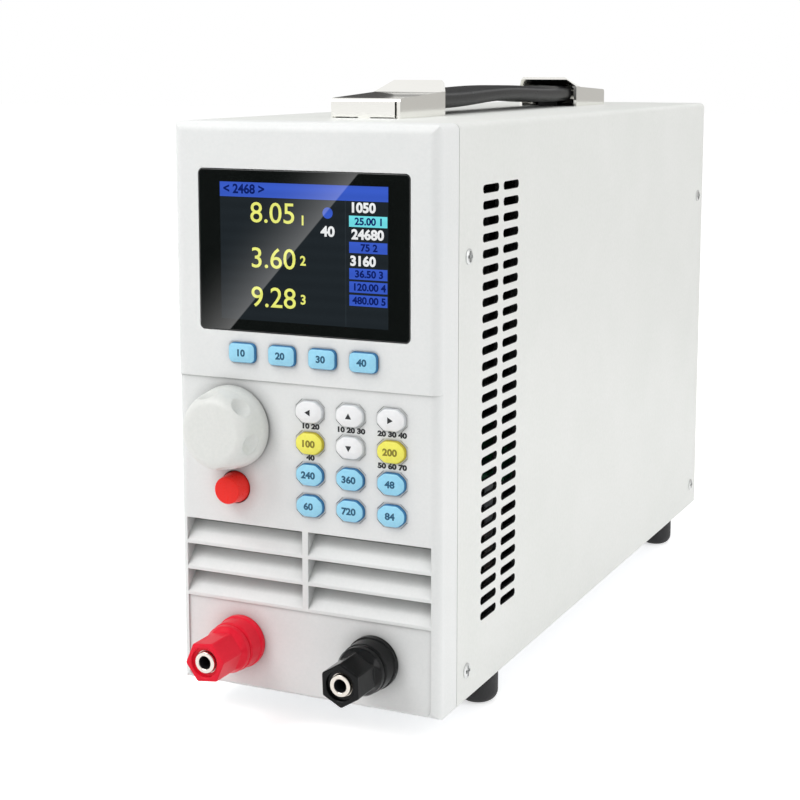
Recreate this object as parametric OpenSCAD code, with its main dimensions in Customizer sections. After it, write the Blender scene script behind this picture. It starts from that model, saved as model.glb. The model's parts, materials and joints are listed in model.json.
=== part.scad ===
// Bench dc electronic load: a slim upright steel case behind a moulded front bezel with a colour
// display, rubber keys, a setting knob, a power button, air louvers and two binding posts,
// carried by a strap handle. Sizes are in millimetres.
// Case coordinates: X across, Y back from the front face, Z up from the underside of the case.

/* [Case] */
// Outer width of the case
case_w = 88; // [84:0.5:110]
// Height of the case without feet and handle
case_h = 175; // [160:1:200]
// Depth of the case from the front face to the rear edge of the cover
case_d = 282; // [276:1:340]
// Thickness of the steel sheet
sheet_t = 1.2; // [0.8:0.1:1.6]
// Outer bend radius along the top edges
bend_r = 2; // [1.8:0.1:3]
// Gap between sheet parts that nest in each other
fit_gap = 0.1; // [0.05:0.05:0.2]
// Visible seam between the bezel and the cover
seam_gap = 0.3; // [0.1:0.05:0.6]

/* [Front bezel] */
// Depth of the moulded bezel
bezel_d = 13.4; // [12.6:0.1:16]
// Thickness of the front face
face_t = 2.5; // [2:0.1:3]
// Thickness of the bezel walls
wall_t = 2.2; // [1.8:0.1:2.6]
// Radius of the front edges
edge_r = 3; // [2:0.1:4]
// Height of the step between the keypad and the display section
step_z = 97.7; // [96.5:0.1:99]
// How far the display section stands proud
step_out = 0.5; // [0.2:0.1:0.8]

/* [Display] */
// Border between the window and the sides of the case
window_side = 9.05; // [8:0.05:12]
// Border between the window and the top of the case
window_head = 14.05; // [12:0.05:18]
// Height of the window's lower edge
window_low = 112.45; // [111.5:0.05:114]
// Corner radius of the window
window_r = 1.5; // [1:0.1:4]
// Thickness of the window
window_t = 1.5; // [1:0.1:1.8]
// Gap around the window in its recess
window_gap = 0.15; // [0.1:0.05:0.3]
// Width of the ledge that the window sits on
window_lip = 3; // [2.6:0.1:4]
// How far the frame of the display module laps the ledge
lcd_lap = 2; // [1:0.1:2.4]
// Thickness of the display module's frame
lcd_t = 3.6; // [2.5:0.1:5]
// Gap around and in front of the display glass
lcd_gap = 0.3; // [0.2:0.05:0.4]

/* [Keys] */
// Width of a key
key_w = 9.1; // [8.6:0.1:10.2]
// Height of a key in the matrix
key_h = 6.7; // [6:0.1:7.6]
// Width of the cut corner of a key
key_cut_x = 2.1; // [1:0.1:3]
// Height of the cut corner of a key
key_cut_z = 2; // [1:0.1:2.6]
// Edge bevel on the front of the keys
key_bevel = 0.7; // [0.3:0.1:1]
// How far the keys stand out of the face
key_out = 1.8; // [1.4:0.1:2.6]
// Distance between key columns
key_pitch_x = 13.45; // [13.2:0.05:13.8]
// Distance between key rows
key_pitch_z = 9.55; // [9.5:0.05:9.7]
// Distance of the last key column from the right side of the case
keys_side = 15; // [14.2:0.05:15.5]
// Height of the lowest key row
keys_z = 61; // [60.6:0.1:61.4]
// Gap around a key in its hole
key_gap = 0.35; // [0.25:0.05:0.5]
// Width of the ears that hold a key behind the face
key_ear = 0.8; // [0.6:0.1:1]
// Thickness of the ears
key_ear_t = 1.2; // [0.8:0.1:1.6]
// Travel of a key
key_travel = 0.9; // [0.6:0.1:1.2]
// Radius of the contact pill under a key
pill_r = 1.6; // [1:0.1:2]
// Length of the contact pill
pill_l = 0.9; // [0.5:0.1:1.5]
// Height of a soft key below the window
soft_h = 6.1; // [5.5:0.1:6.6]
// Corner radius of a soft key
soft_r = 1.5; // [0.8:0.1:2]
// Distance between the soft keys
soft_pitch = 13.5; // [13.2:0.1:15]
// Height of the soft keys' centre
soft_z = 105.95; // [105:0.05:106]

/* [Front board] */
// Thickness of the circuit boards
board_t = 1.6; // [1:0.1:2]
// Radius of the posts that carry the front board
stake_r = 2; // [1.8:0.1:2.2]
// Radius of the pins that hold the front board
stake_pin_r = 1.2; // [0.8:0.1:1.4]
// Length of the pins behind the front board
stake_tip = 1; // [0.5:0.1:2]

/* [Knob] */
// Distance of the knob's axis from the left side of the case
knob_side = 19.65; // [19:0.05:20]
// Height of the knob's axis
knob_z = 83; // [82.6:0.1:83.4]
// Radius of the knob at its foot
knob_r = 12.8; // [11:0.1:13.4]
// Radius of the flat on the knob's front
knob_tip_r = 7.4; // [6:0.1:8]
// Length of the knob
knob_l = 13; // [11:0.1:16]
// Radius of the rounded shoulder of the knob
knob_round = 4.4; // [3:0.1:4.8]
// Length of the straight foot of the knob
knob_foot = 5; // [3:0.1:6]
// Gap between the knob and the face
knob_gap = 0.6; // [0.4:0.1:1]
// Number of finger dents around the knob
dent_count = 6; // [4:1:8]
// Turn of the first finger dent above the level
dent_turn = 45; // [0:5:60]
// Radius of a finger dent
dent_r = 5; // [4:0.1:6]
// Depth of a finger dent
dent_depth = 1.3; // [0.5:0.1:2]
// Radius of the encoder shaft
shaft_r = 3; // [2.5:0.1:3]
// Running clearance of turning and sliding shafts
run_gap = 0.05; // [0.03:0.01:0.08]
// Wall of the encoder's threaded bush
bush_t = 0.8; // [0.6:0.1:1.2]
// Width of the encoder body
encoder_w = 12.5; // [11:0.5:14]
// Depth of the encoder body
encoder_d = 6.5; // [5:0.1:8]

/* [Power button] */
// Distance of the power button's axis from the left side of the case
button_side = 20.1; // [19:0.1:21]
// Height of the power button's axis
button_z = 64; // [63.8:0.1:64.2]
// Radius of the button's finger end
button_r = 4.15; // [3:0.05:4.4]
// Radius of the button's collar
collar_r = 4.8; // [4.8:0.05:5.3]
// How far the button stands out of the face
button_out = 5.7; // [5:0.1:8]
// How far the collar stands out of the face
collar_out = 0.6; // [0.6:0.1:2]
// Gap around the collar in its hole
button_gap = 0.3; // [0.25:0.05:0.4]
// Travel of the button
button_travel = 2.5; // [1.5:0.1:2.6]
// Radius of the stem inside the switch
button_stem_r = 1.8; // [1.2:0.1:2.4]
// Width of the switch body
switch_w = 10; // [9:0.5:11]
// Depth of the switch body
switch_d = 15; // [13:0.5:20]

/* [Louvers] */
// Border between the louvers and the sides of the case
louver_side = 2.55; // [2.5:0.05:8]
// Width of the bar between the two louver columns
louver_bar = 2; // [1.5:0.1:4]
// Height of the top edge of the louvers
louver_top = 52.6; // [52.2:0.1:53]
// Distance between louver rows
louver_pitch = 8.3; // [7.8:0.1:8.3]
// Number of louver rows
louver_rows = 3; // [2:1:3]
// Height of the flat lip under each row
louver_lip = 1; // [0.6:0.1:1.6]
// Depth of a louver recess
louver_depth = 4.7; // [3.5:0.1:5.5]
// Height of the air slot at the head of each louver
louver_slot = 1.8; // [1.2:0.1:2.4]
// Thickness of the wall at the back of the louvers
louver_back = 2.3; // [1.6:0.1:3]

/* [Binding posts] */
// Distance of each binding post from its side of the case
post_side = 21.4; // [20:0.1:22]
// Height of the binding posts
post_z = 15.3; // [14.5:0.1:15.8]
// Depth of the recessed panel around the posts
panel_step = 0.5; // [0.3:0.1:0.8]
// Border beside the recessed panel
panel_border = 2.6; // [2:0.1:3.4]
// Border below the recessed panel
panel_low = 1.2; // [1:0.1:3]
// Corner radius of the recessed panel
panel_r = 2; // [1:0.1:3]
// Radius of the post base at the panel
base_r = 8.2; // [7.8:0.1:9]
// Radius of the post base at its front
base_tip_r = 7.7; // [7.4:0.1:7.8]
// Length of the post base
base_l = 7.4; // [6:0.1:9]
// Length of the straight foot of the post base
base_foot = 2.2; // [1:0.1:4]
// Radius of the collar of a post cap
cap_r = 7.4; // [7:0.1:7.6]
// Width across the flats of a post cap
cap_flats = 11.6; // [11:0.1:12.4]
// Length of the round collar of a post cap
cap_collar = 2.1; // [1.5:0.1:3]
// Length of the taper from the collar to the flats
cap_taper = 1.9; // [1:0.1:2.5]
// Share of the corner radius that is left when the corners of the flats are rounded
cap_corner = 0.98; // [0.93:0.005:0.98]
// Length of a post cap
cap_l = 14.6; // [12:0.1:15]
// Gap between the cap and its base when screwed home
cap_gap = 0.3; // [0.2:0.1:0.6]
// Turn of the black cap's flats against the red one's
cap_turn = 30; // [0:5:60]
// Edge bevel at the front of a post cap
cap_bevel = 0.8; // [0.4:0.1:1.2]
// Radius of the metal stud
stud_r = 3.35; // [3.1:0.05:3.5]
// Radius of the plug socket in the stud
socket_r = 2; // [1.9:0.05:2.1]
// Depth of the plug socket
socket_l = 16; // [12:0.5:18]
// Wall of the threaded insert in a post cap
insert_t = 1.2; // [0.9:0.1:1.4]
// Wall in front of the insert
cap_front_t = 1.4; // [1:0.1:2]
// Gap around the stud where the cap is open at the front
cap_mouth = 0.8; // [0.5:0.1:1]
// Width across the flats of the stud nuts
nut_flats = 10; // [9:0.5:12]
// Thickness of the stud nuts
nut_t = 4; // [3:0.5:5]
// Length of stud that shows behind its nut
stud_tail = 2; // [1:0.5:4]

/* [Bus bars] */
// Width of the copper bars from the posts to the load board
bar_w = 11; // [10.5:0.1:11.4]
// Thickness of the copper bars
bar_t = 1.5; // [1:0.1:2]
// Height of the level run of the bars
bar_z = 23; // [22.5:0.1:24]
// Depth of the risers behind the face
bar_end = 70; // [60:1:80]

/* [Side vents] */
// Length of a vent slot
vent_l = 12.9; // [10:0.1:14]
// Height of a vent slot
vent_h = 2.6; // [1.6:0.1:3.4]
// Distance between vent rows
vent_pitch = 4.9; // [4.6:0.1:4.9]
// Distance of the top vent row from the top of the case
vent_head = 20.2; // [14:0.1:40]
// Height of the lowest vent row
vent_low = 22.5; // [20:0.1:60]
// Depth of the first vent column behind the face
vent_y = 38.3; // [37.2:0.1:46]
// Distance between the two vent columns
vent_gap_y = 16.6; // [15.5:0.1:20]

/* [Cover screws] */
// Depth of the front side screws behind the face
screw_front = 21; // [20:0.1:24]
// Distance of the rear side screws from the rear edge
screw_rear = 7.6; // [6:0.1:10]
// Height of the lower side screws
screw_low = 9; // [7:0.1:12]
// Distance of the upper side screws from the top of the case
screw_head = 39.2; // [30:0.1:45]
// Radius of a screw head
head_r = 2.6; // [2.2:0.1:3]
// Height of a screw head
head_h = 1.2; // [0.8:0.1:1.8]
// Share of the head radius at the top of its bevel
head_crown = 0.7; // [0.6:0.05:0.8]
// Radius of the screw shank
screw_r = 1.5; // [1.2:0.05:1.6]
// Length of the screw shank
screw_l = 3.5; // [3:0.1:3.6]
// Gap around a shank in a plain hole
hole_gap = 0.2; // [0.1:0.05:0.4]
// Gap around a shank in a tapped hole
tap_gap = 0.05; // [0.03:0.01:0.08]
// Width of the cross slots in the screw heads
cross_w = 0.8; // [0.6:0.1:1]
// Reach of the cross slots as a share of the head radius
cross_reach = 0.6; // [0.5:0.05:0.7]
// Depth of the cross slots
cross_depth = 0.7; // [0.4:0.1:0.7]

/* [Chassis] */
// Width of the side flanges that take the side screws
flange_d = 13; // [12:0.5:16]
// Height of the side flanges of the tray
tray_h = 18; // [16:0.5:22]
// Gap between the tray flanges and the flanges above them
tray_gap = 1; // [0.5:0.1:2]
// Border of the front frame around its opening
frame_border = 7; // [6:0.5:8]
// How far the rear panel sits inside the rear edge
rear_inset = 1; // [0.5:0.1:2]

/* [Feet] */
// Radius of a foot where it stands
foot_r = 6; // [5:0.1:8]
// Radius of a foot at the case
foot_top_r = 6.5; // [5.2:0.1:8]
// Height of the feet
foot_h = 10; // [6:0.5:14]
// Distance of the feet from the sides of the case
foot_side = 6.7; // [6.5:0.1:12]
// Depth of the front feet behind the face
foot_front = 46.7; // [35:0.1:60]
// Distance of the rear feet from the rear edge
foot_rear = 37; // [30:0.1:60]
// Radius of the pin that holds a foot
foot_pin_r = 2; // [1.5:0.1:2.5]
// Length of the pin above the tray
foot_pin_l = 3; // [2:0.1:4]

/* [Handle] */
// Depth of the handle's front end behind the face
handle_y = 42; // [38:0.5:46]
// Overall length of the handle
handle_l = 200.5; // [190:0.5:220]
// Length of an end cap
hcap_l = 35; // [33:0.5:38]
// Width of an end cap
hcap_w = 24; // [23.6:0.1:30]
// Height of an end cap at its outer end
hcap_low = 6.2; // [6:0.1:7]
// Height of an end cap's sides at its inner end
hcap_high = 7.8; // [7.6:0.1:9]
// Height of the hood's lip over the strap
hood_h = 11.5; // [11.2:0.1:12.5]
// Length of the hood on top of the cap
hood_l = 4; // [3:0.5:6]
// How far the hood's lip reaches beyond the cap
hood_out = 4.8; // [4:0.1:5.5]
// Width of the slanted sides of the hood
hood_side = 3.3; // [2.8:0.1:3.6]
// Thickness of the end caps
hcap_t = 1; // [0.8:0.1:1.2]
// Width of the strap
strap_w = 20; // [16:0.5:20]
// Thickness of the strap
strap_t = 6.2; // [5:0.1:6.2]
// Edge radius of the strap
strap_r = 2.4; // [1.5:0.1:2.6]
// Gap between the strap and the top of the case
strap_gap = 1.9; // [1.5:0.1:2]
// Length of the middle of the strap, which stays level when lifted
grip_l = 60; // [40:1:80]
// Length of a strap end's full section, which starts under the hood
strap_show = 2; // [1:0.5:4]
// Width of the tongue that guides a strap end
tongue_w = 8; // [6:0.5:9]
// Length of the tongue
tongue_l = 20; // [14:0.5:22]
// Thickness of the tongue, which slides on the top of the case
tongue_t = 2.6; // [2.2:0.1:3]
// Distance of an end cap's fixing posts from its outer end
hpost_in = 7; // [5:0.5:8]
// Distance of the fixing posts from the middle
hpost_x = 7.6; // [7.5:0.1:7.8]
// Radius of the fixing posts
hpost_r = 2.4; // [2.2:0.1:2.6]

/* [Load board] */
// Height of the underside of the load board
load_z = 57.2; // [56:0.1:58]
// Gap between the load board and the inside of the case
load_gap = 4.7; // [3:0.1:7]
// Depth of the load board's front edge behind the face
load_y = 66; // [54:1:70]
// Length of the load board
load_l = 184; // [176:1:186]
// Inset of the board posts from the board's edges
load_inset = 6; // [5:0.5:8]
// Width across the flats of the board posts
board_post_w = 6; // [5:0.5:8]

/* [Heat sink] */
// Inset of the heat sink from the sides of the load board
sink_inset = 4; // [2:0.5:8]
// Length of the heat sink
sink_l = 100; // [70:1:104]
// Thickness of the heat sink's base
sink_base = 6.2; // [4:0.1:8]
// Height of the fins
fin_h = 70; // [40:1:74]
// Thickness of a fin
fin_t = 1.8; // [1.2:0.1:2.4]
// Number of fins
fin_count = 14; // [8:1:16]
// Width of a power transistor
fet_w = 16; // [14:0.5:16]
// Length of a power transistor
fet_l = 21; // [18:0.5:22]
// Thickness of a power transistor
fet_t = 5; // [4.5:0.1:5.5]
// Number of power transistors
fet_count = 4; // [2:1:4]

/* [Transformer] */
// Width of the mains transformer's core
core_w = 50; // [40:1:56]
// Length of the core stack
core_l = 26; // [20:1:32]
// Height of the core
core_h = 42; // [34:1:48]
// Width of the winding as a share of the core
coil_w_share = 0.6; // [0.4:0.05:0.8]
// Height of the winding as a share of the core
coil_h_share = 0.7; // [0.5:0.05:0.8]
// How far the winding stands out of each side of the core
coil_out = 9; // [6:0.5:12]
// Distance of the transformer's centre from the rear edge
core_rear = 80; // [70:1:110]

/* [Fan] */
// Gap between the fan frame and the flanges beside it
fan_gap = 1.5; // [1.5:0.1:4]
// Depth of the fan frame
fan_d = 25; // [20:1:26]
// Height of the fan's axis
fan_z = 104; // [102:0.5:110]
// Wall of the fan frame around its blades
fan_wall = 2; // [1.5:0.1:2.4]
// Radius of the fan's hub
hub_r = 18; // [14:0.5:20]
// Number of fan blades
blade_count = 7; // [5:1:9]
// Thickness of a blade
blade_t = 1.8; // [1.2:0.1:2.4]
// Slant of a blade
blade_tilt = 38; // [30:1:48]
// Gap between the blades and the frame
blade_gap = 1; // [0.6:0.1:1.5]
// Radius of the fan's shaft
fan_shaft_r = 1.5; // [1.2:0.1:2]
// Distance of the fan's fixing holes from its edges
fan_corner = 4.25; // [3.8:0.05:6]
// Radius of the fan's fixing screws
fan_screw_r = 1.9; // [1.5:0.1:2]
// Radius of the fan screws' heads
fan_head_r = 3.4; // [2.8:0.1:3.8]
// Height of the fan screws' heads
fan_head_h = 1.7; // [1.2:0.1:2.2]
// Width of the guard's wires
wire_w = 1.6; // [1.2:0.1:2]
// Height of the guard's rings above the panel
ring_lift = 1.3; // [1:0.1:1.5]
// Number of rings in the guard
guard_rings = 4; // [3:1:5]

/* [Rear sockets] */
// Height of the rear sockets
socket_z = 31; // [28:0.5:34]
// Distance of the mains inlet from its side of the case
inlet_side = 24; // [22:0.5:25]
// Width of the inlet's body
inlet_w = 27; // [26:0.5:29]
// Height of the inlet's body
inlet_h = 20; // [19:0.5:22]
// Width of the inlet's flange beyond its body
inlet_rim = 2.2; // [1.5:0.1:3]
// Thickness of the inlet's flange
inlet_rim_t = 2.5; // [2:0.1:3.5]
// Depth of the inlet's body behind the panel
inlet_d = 20; // [18:0.5:24]
// Wall around the inlet's well
inlet_wall = 1.4; // [1.2:0.1:1.8]
// Depth of the inlet's well
inlet_well = 16; // [14:0.5:17]
// Length of the inlet's pins
inlet_pin_l = 10; // [8:0.5:11]
// Distance of the serial port from its side of the case
port_side = 23; // [21:0.5:24]
// Width of the port's plate
port_w = 31; // [28:0.5:32]
// Height of the port's plate
port_h = 12.5; // [11.5:0.1:14]
// Thickness of the port's plate
port_t = 1; // [0.8:0.1:1.5]
// How far the port's shell and jack posts stand out of the panel
port_out = 5.5; // [5:0.1:7]
// Distance between the port's jack posts
jack_pitch = 25; // [24.5:0.1:25.5]

/* [Hidden] */
$fn = 64;

// Colours of the finishes
shell_white = "#eef0f0";
cover_white = "#e8e7e4";
key_white = "#f4f5f4";
key_blue = "#7ccbf5";
key_yellow = "#f3e84a";
post_red = "#d9243a";
soft_black = "#202124";
bare_steel = "#b9bcc0";
bright_nickel = "#d8d8d6";
board_green = "#2c6b45";
copper = "#c77b4a";

// Each key of the matrix: name, column, row from the bottom and colour
MATRIX_KEYS = [
    ["left_key", 0, 3, key_white], ["up_key", 1, 3, key_white], ["right_key", 2, 3, key_white],
    ["escape_key", 0, 2, key_yellow], ["down_key", 1, 2, key_white], ["enter_key", 2, 2, key_yellow],
    ["mode_key", 0, 1, key_blue], ["menu_key", 1, 1, key_blue], ["set_key", 2, 1, key_blue],
    ["channel_key", 0, 0, key_blue], ["trigger_key", 1, 0, key_blue], ["output_key", 2, 0, key_blue]
];
key_columns = 3;
key_rows = 4;
soft_count = 4;

// Small overlap that keeps cuts clean
cut = 1;

// Front and rear ends of the part, and the frame's origin under the middle of its box
post_reach = base_l + cap_gap + cap_l - panel_step;
rear_reach = port_out - rear_inset;
front_y = (post_reach - case_d - rear_reach) / 2;

// Chassis
inner_w = case_w - 2 * sheet_t - 2 * fit_gap;
frame_y = bezel_d;
tray_y = frame_y + sheet_t;
rear_y = case_d - rear_inset - sheet_t;
inner_top = case_h - sheet_t - fit_gap;
cover_y = bezel_d + seam_gap;
screw_high = case_h - screw_head;
screw_rows = [screw_low, screw_high];
screw_depths = [screw_front, case_d - screw_rear];
foot_x = case_w / 2 - foot_side;
foot_depths = [foot_front, case_d - foot_rear];

// Side vents
vent_top = case_h - vent_head;
vent_rows = 1 + round((vent_top - vent_low) / vent_pitch);

// Display
window_w = case_w - 2 * window_side;
window_h = case_h - window_head - window_low;
window_z = window_low + window_h / 2;
opening_w = window_w - 2 * window_lip;
opening_h = window_h - 2 * window_lip;
window_y = window_t - step_out;

// Keypad and front board
soft_w = key_w;
keys_x = case_w / 2 - keys_side - (key_columns - 1) * key_pitch_x;
board_y = face_t + key_ear_t + pill_l + key_travel + fit_gap;
board_back = board_y + board_t;
board_gap = 0.7;
louver_cap = 1.4;
mat_gap = 0.4;
mat_border = 1.6;
ear_w = key_w + 2 * key_ear;
matrix_w = (key_columns - 1) * key_pitch_x + ear_w + 2 * mat_border;
matrix_h = (key_rows - 1) * key_pitch_z + key_h + 2 * mat_border;
soft_row_w = (soft_count - 1) * soft_pitch + ear_w + 2 * mat_border;
soft_row_h = soft_h + 2 * mat_border;
matrix_x = keys_x + (key_columns - 1) * key_pitch_x / 2;
matrix_z = keys_z + (key_rows - 1) * key_pitch_z / 2;
board_w = case_w - 2 * wall_t - 2 * board_gap;
board_low = louver_top + louver_cap + board_gap;
board_high = soft_z + soft_row_h / 2 + fit_gap;
stake_x = board_w / 2 - stake_r;
stake_low = board_low + stake_r;
stake_high = step_z + stake_r;

// Louvers
louver_w = case_w - 2 * louver_side;
louver_deep = louver_depth + louver_back;
louver_low = louver_top - louver_rows * louver_pitch;
louver_col = (louver_w - louver_bar) / 2;

// Knob and encoder
knob_x = knob_side - case_w / 2;
bush_r = shaft_r + run_gap + bush_t;
bush_gap = 0.3;
shaft_in = knob_l - knob_round;
shaft_tail = 3;

// Power button
button_x = button_side - case_w / 2;
stem_in = 1.5 * button_travel;
bore_in = stem_in + 1.5 * button_travel;

// Binding posts, measured outwards from the recessed panel
post_x = case_w / 2 - post_side;
cap_y = base_l + cap_gap;
insert_r = stud_r + run_gap + insert_t;
insert_l = cap_l - cap_front_t - run_gap;
nut_y = face_t + bar_t;

// Handle, measured from its front end
strap_l = handle_l - 2 * hcap_l;
flex_l = (strap_l - grip_l) / 2 - strap_show;

// Places of the screws that hold the end caps, from under the cover
handle_fixings = [
    for (s = [-1, 1], y = [handle_y + hpost_in, handle_y + handle_l - hpost_in])
        [s * hpost_x, y]
];

// Load stage
load_w = inner_w - 2 * load_gap;
sink_w = load_w - 2 * sink_inset;
load_top = load_z + board_t;
sink_z = load_top + fet_t;
fan_y = rear_y - fan_d;
sink_y = load_y + load_l - sink_l;

// Fan, with its motor plate and struts at the front
strut_t = 3;
fan_w = inner_w - 2 * sheet_t - 2 * fan_gap;
fan_pitch = fan_w - 2 * fan_corner;
fan_bore_r = fan_w / 2 - fan_wall;
fan_corners = [for (sx = [-1, 1], sz = [-1, 1]) [sx * fan_pitch / 2, fan_z + sz * fan_pitch / 2]];

// Rear sockets: the standard pin places of the inlet and pin spacing of the port
panel_y = case_d - rear_inset;
inlet_x = inlet_side - case_w / 2;
port_x = case_w / 2 - port_side;
inlet_pins = [[-7, -2], [0, 2], [7, -2]];
inlet_pin_w = 2;
inlet_pin_h = 4;
jack_r = 2.6;
jack_gap = 0.4;
port_rim = 1.25;
port_shell_w = jack_pitch - 2 * jack_r - 2 * jack_gap;
port_shell_h = port_h - 2 * port_rim;
port_shell_r = 2;
port_body_d = 8;
pin_step = 2.77;
pin_rise = 1.42;
pin_r = 0.6;

// Puts case coordinates into the part's own frame
module in_case() {
    translate([0, front_y, foot_h]) children();
}

// Extrudes an X-Z outline backwards from depth y0
module prism_y(y0, l) {
    translate([0, y0 + l, 0]) rotate([90, 0, 0]) linear_extrude(l) children();
}

// Extrudes a Y-Z outline across from place x0
module prism_x(x0, l) {
    translate([x0, 0, 0]) rotate([90, 0, 90]) linear_extrude(l) children();
}

// Turns an outline of radius and reach about an axis that points out of the front face
module turned(x, y, z) {
    translate([x, y, z]) rotate([90, 0, 0]) rotate_extrude() children();
}

// Round bar along Y
module bar_y(r, x, z, y0, l) {
    translate([x, 0, z]) prism_y(y0, l) circle(r);
}

// Block given by its low corner and size, centred across X at x
module block(x, y0, z0, size) {
    translate([x - size[0] / 2, y0, z0]) cube(size);
}

// Rectangle with round corners, centred
module rounded(w, h, r) {
    square([w - 2 * r, h], center = true);
    square([w, h - 2 * r], center = true);
    for (sx = [-1, 1], sz = [-1, 1])
        translate([sx * (w / 2 - r), sz * (h / 2 - r)]) circle(r);
}

// Slot with round ends, centred and lying along its first axis
module slot_outline(l, h) {
    square([l - h, h], center = true);
    for (s = [-1, 1])
        translate([s * (l - h) / 2, 0]) circle(h / 2);
}

// Plan of the bezel: a rectangle behind the front line with two round front corners
module bezel_plan(w, d, r) {
    translate([-w / 2, r]) square([w, d - r]);
    translate([r - w / 2, 0]) square([w - 2 * r, r]);
    for (s = [-1, 1])
        translate([s * (w / 2 - r), r]) circle(r);
}

// Side outline of half a bezel, round at its upper front corner
module bezel_side(d, h, r) {
    square([d, h - r]);
    translate([r, 0]) square([d - r, h]);
    translate([r, h - r]) circle(r);
}

// Half of the bezel's outer form, standing on its base
module bezel_half(d, h) {
    intersection() {
        linear_extrude(h) bezel_plan(case_w, d, edge_r);
        prism_x(-case_w / 2, case_w) bezel_side(d, h, edge_r);
    }
}

// Arch of the cover: a rectangle with round upper corners that stands on zero
module arch(w, h, r) {
    translate([-w / 2, 0]) square([w, h - r]);
    translate([r - w / 2, 0]) square([w - 2 * r, h]);
    for (s = [-1, 1])
        translate([s * (w / 2 - r), h - r]) circle(r);
}

// Outline of a key of the matrix, a rectangle with cut corners
module key_outline(w, h) {
    x = w / 2;
    z = h / 2;
    polygon([
        [x - key_cut_x, z], [x, z - key_cut_z], [x, key_cut_z - z], [x - key_cut_x, -z],
        [key_cut_x - x, -z], [-x, key_cut_z - z], [-x, z - key_cut_z], [key_cut_x - x, z]
    ]);
}

// Side outline that bevels the front of a key, as depth and breadth
module bevel_outline(y0, y1, breadth) {
    b = breadth / 2;
    polygon([
        [y0, b - key_bevel], [y0 + key_bevel, b], [y1, b],
        [y1, -b], [y0 + key_bevel, -b], [y0, key_bevel - b]
    ]);
}

// Key cap with bevelled front, ears behind the face and a contact pill
module key_form(h, y0) {
    body_l = face_t + key_ear_t - y0;
    intersection() {
        prism_y(y0, body_l) children();
        prism_x(-key_w, 2 * key_w) bevel_outline(y0, y0 + body_l, h);
        rotate([0, 90, 0]) prism_x(-h, 2 * h) bevel_outline(y0, y0 + body_l, key_w);
    }
    block(0, face_t, key_cut_z - h / 2, [ear_w, key_ear_t, h - 2 * key_cut_z]);
    bar_y(pill_r, 0, 0, face_t + key_ear_t, pill_l);
}

// Centre of a key in the matrix
function key_place(col, row) = [keys_x + col * key_pitch_x, 0, keys_z + row * key_pitch_z];

// Centre of a soft key, counted from the left
function soft_place(i) = [(i - (soft_count - 1) / 2) * soft_pitch, 0, soft_z];

module matrix_key(col, row, tint) {
    color(tint) in_case() translate(key_place(col, row))
        key_form(key_h, -key_out) key_outline(key_w, key_h);
}

module soft_key(i) {
    color(key_blue) in_case() translate(soft_place(i))
        key_form(soft_h, -key_out - step_out) rounded(soft_w, soft_h, soft_r);
}

// Every key hole, larger than the keys by a gap all round
module key_holes() {
    for (col = [0 : key_columns - 1], row = [0 : key_rows - 1])
        translate(key_place(col, row)) prism_y(-cut, face_t + 2 * cut)
            key_outline(key_w + 2 * key_gap, key_h + 2 * key_gap);
    for (i = [0 : soft_count - 1])
        translate(soft_place(i)) prism_y(-step_out - cut, face_t + step_out + 2 * cut)
            rounded(soft_w + 2 * key_gap, soft_h + 2 * key_gap, soft_r + key_gap);
}

// One louver: a recess that deepens upwards to an air slot
module louver_cut(x0, z_top) {
    prism_x(x0, louver_col) polygon([
        [-cut, z_top], [louver_deep + cut, z_top], [louver_deep + cut, z_top - louver_slot],
        [louver_depth, z_top - louver_slot], [0, z_top - louver_pitch + louver_lip],
        [-cut, z_top - louver_pitch + louver_lip]
    ]);
}

// Recessed panel around the binding posts, round at its lower corners
module post_panel() {
    panel_w = case_w - 2 * panel_border;
    translate([0, louver_low, 0]) mirror([0, 1, 0])
        arch(panel_w, louver_low - panel_low, panel_r);
}

module front_bezel() {
    hollow_w = case_w - 2 * wall_t;
    hollow_h = case_h - 2 * wall_t;
    color(shell_white) in_case() difference() {
        intersection() {
            union() {
                translate([0, 0, step_z]) mirror([0, 0, 1]) bezel_half(bezel_d, step_z);
                translate([0, -step_out, step_z]) bezel_half(bezel_d + step_out, case_h - step_z);
            }
            prism_y(-step_out - cut, bezel_d + step_out + 2 * cut) arch(case_w, case_h, bend_r);
        }
        difference() {
            block(0, face_t, wall_t, [hollow_w, bezel_d, hollow_h]);
            block(0, 0, louver_low - louver_cap,
                [hollow_w + cut, louver_deep, louver_top + 2 * louver_cap - louver_low]);
            for (s = [-1, 1], z = [stake_low, stake_high]) {
                bar_y(stake_r, s * stake_x, z, 0, board_y);
                bar_y(stake_pin_r, s * stake_x, z, 0, board_back + stake_tip);
            }
        }
        translate([0, 0, window_z]) {
            prism_y(-step_out - cut, window_t + cut)
                rounded(window_w + 2 * window_gap, window_h + 2 * window_gap, window_r + window_gap);
            prism_y(0, face_t + cut) rounded(opening_w, opening_h, window_r);
        }
        key_holes();
        for (i = [0 : louver_rows - 1], s = [0, 1])
            louver_cut(s == 0 ? -louver_w / 2 : louver_bar / 2, louver_top - i * louver_pitch);
        prism_y(-cut, panel_step + cut) post_panel();
        bar_y(bush_r + bush_gap, knob_x, knob_z, -cut, face_t + 2 * cut);
        bar_y(collar_r + button_gap, button_x, button_z, -cut, face_t + 2 * cut);
        for (s = [-1, 1])
            bar_y(stud_r + hole_gap, s * post_x, post_z, 0, face_t + cut);
    }
}

module display_window() {
    color("#0b0c0e") in_case() translate([0, 0, window_z])
        prism_y(-step_out, window_t) rounded(window_w, window_h, window_r);
}

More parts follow.
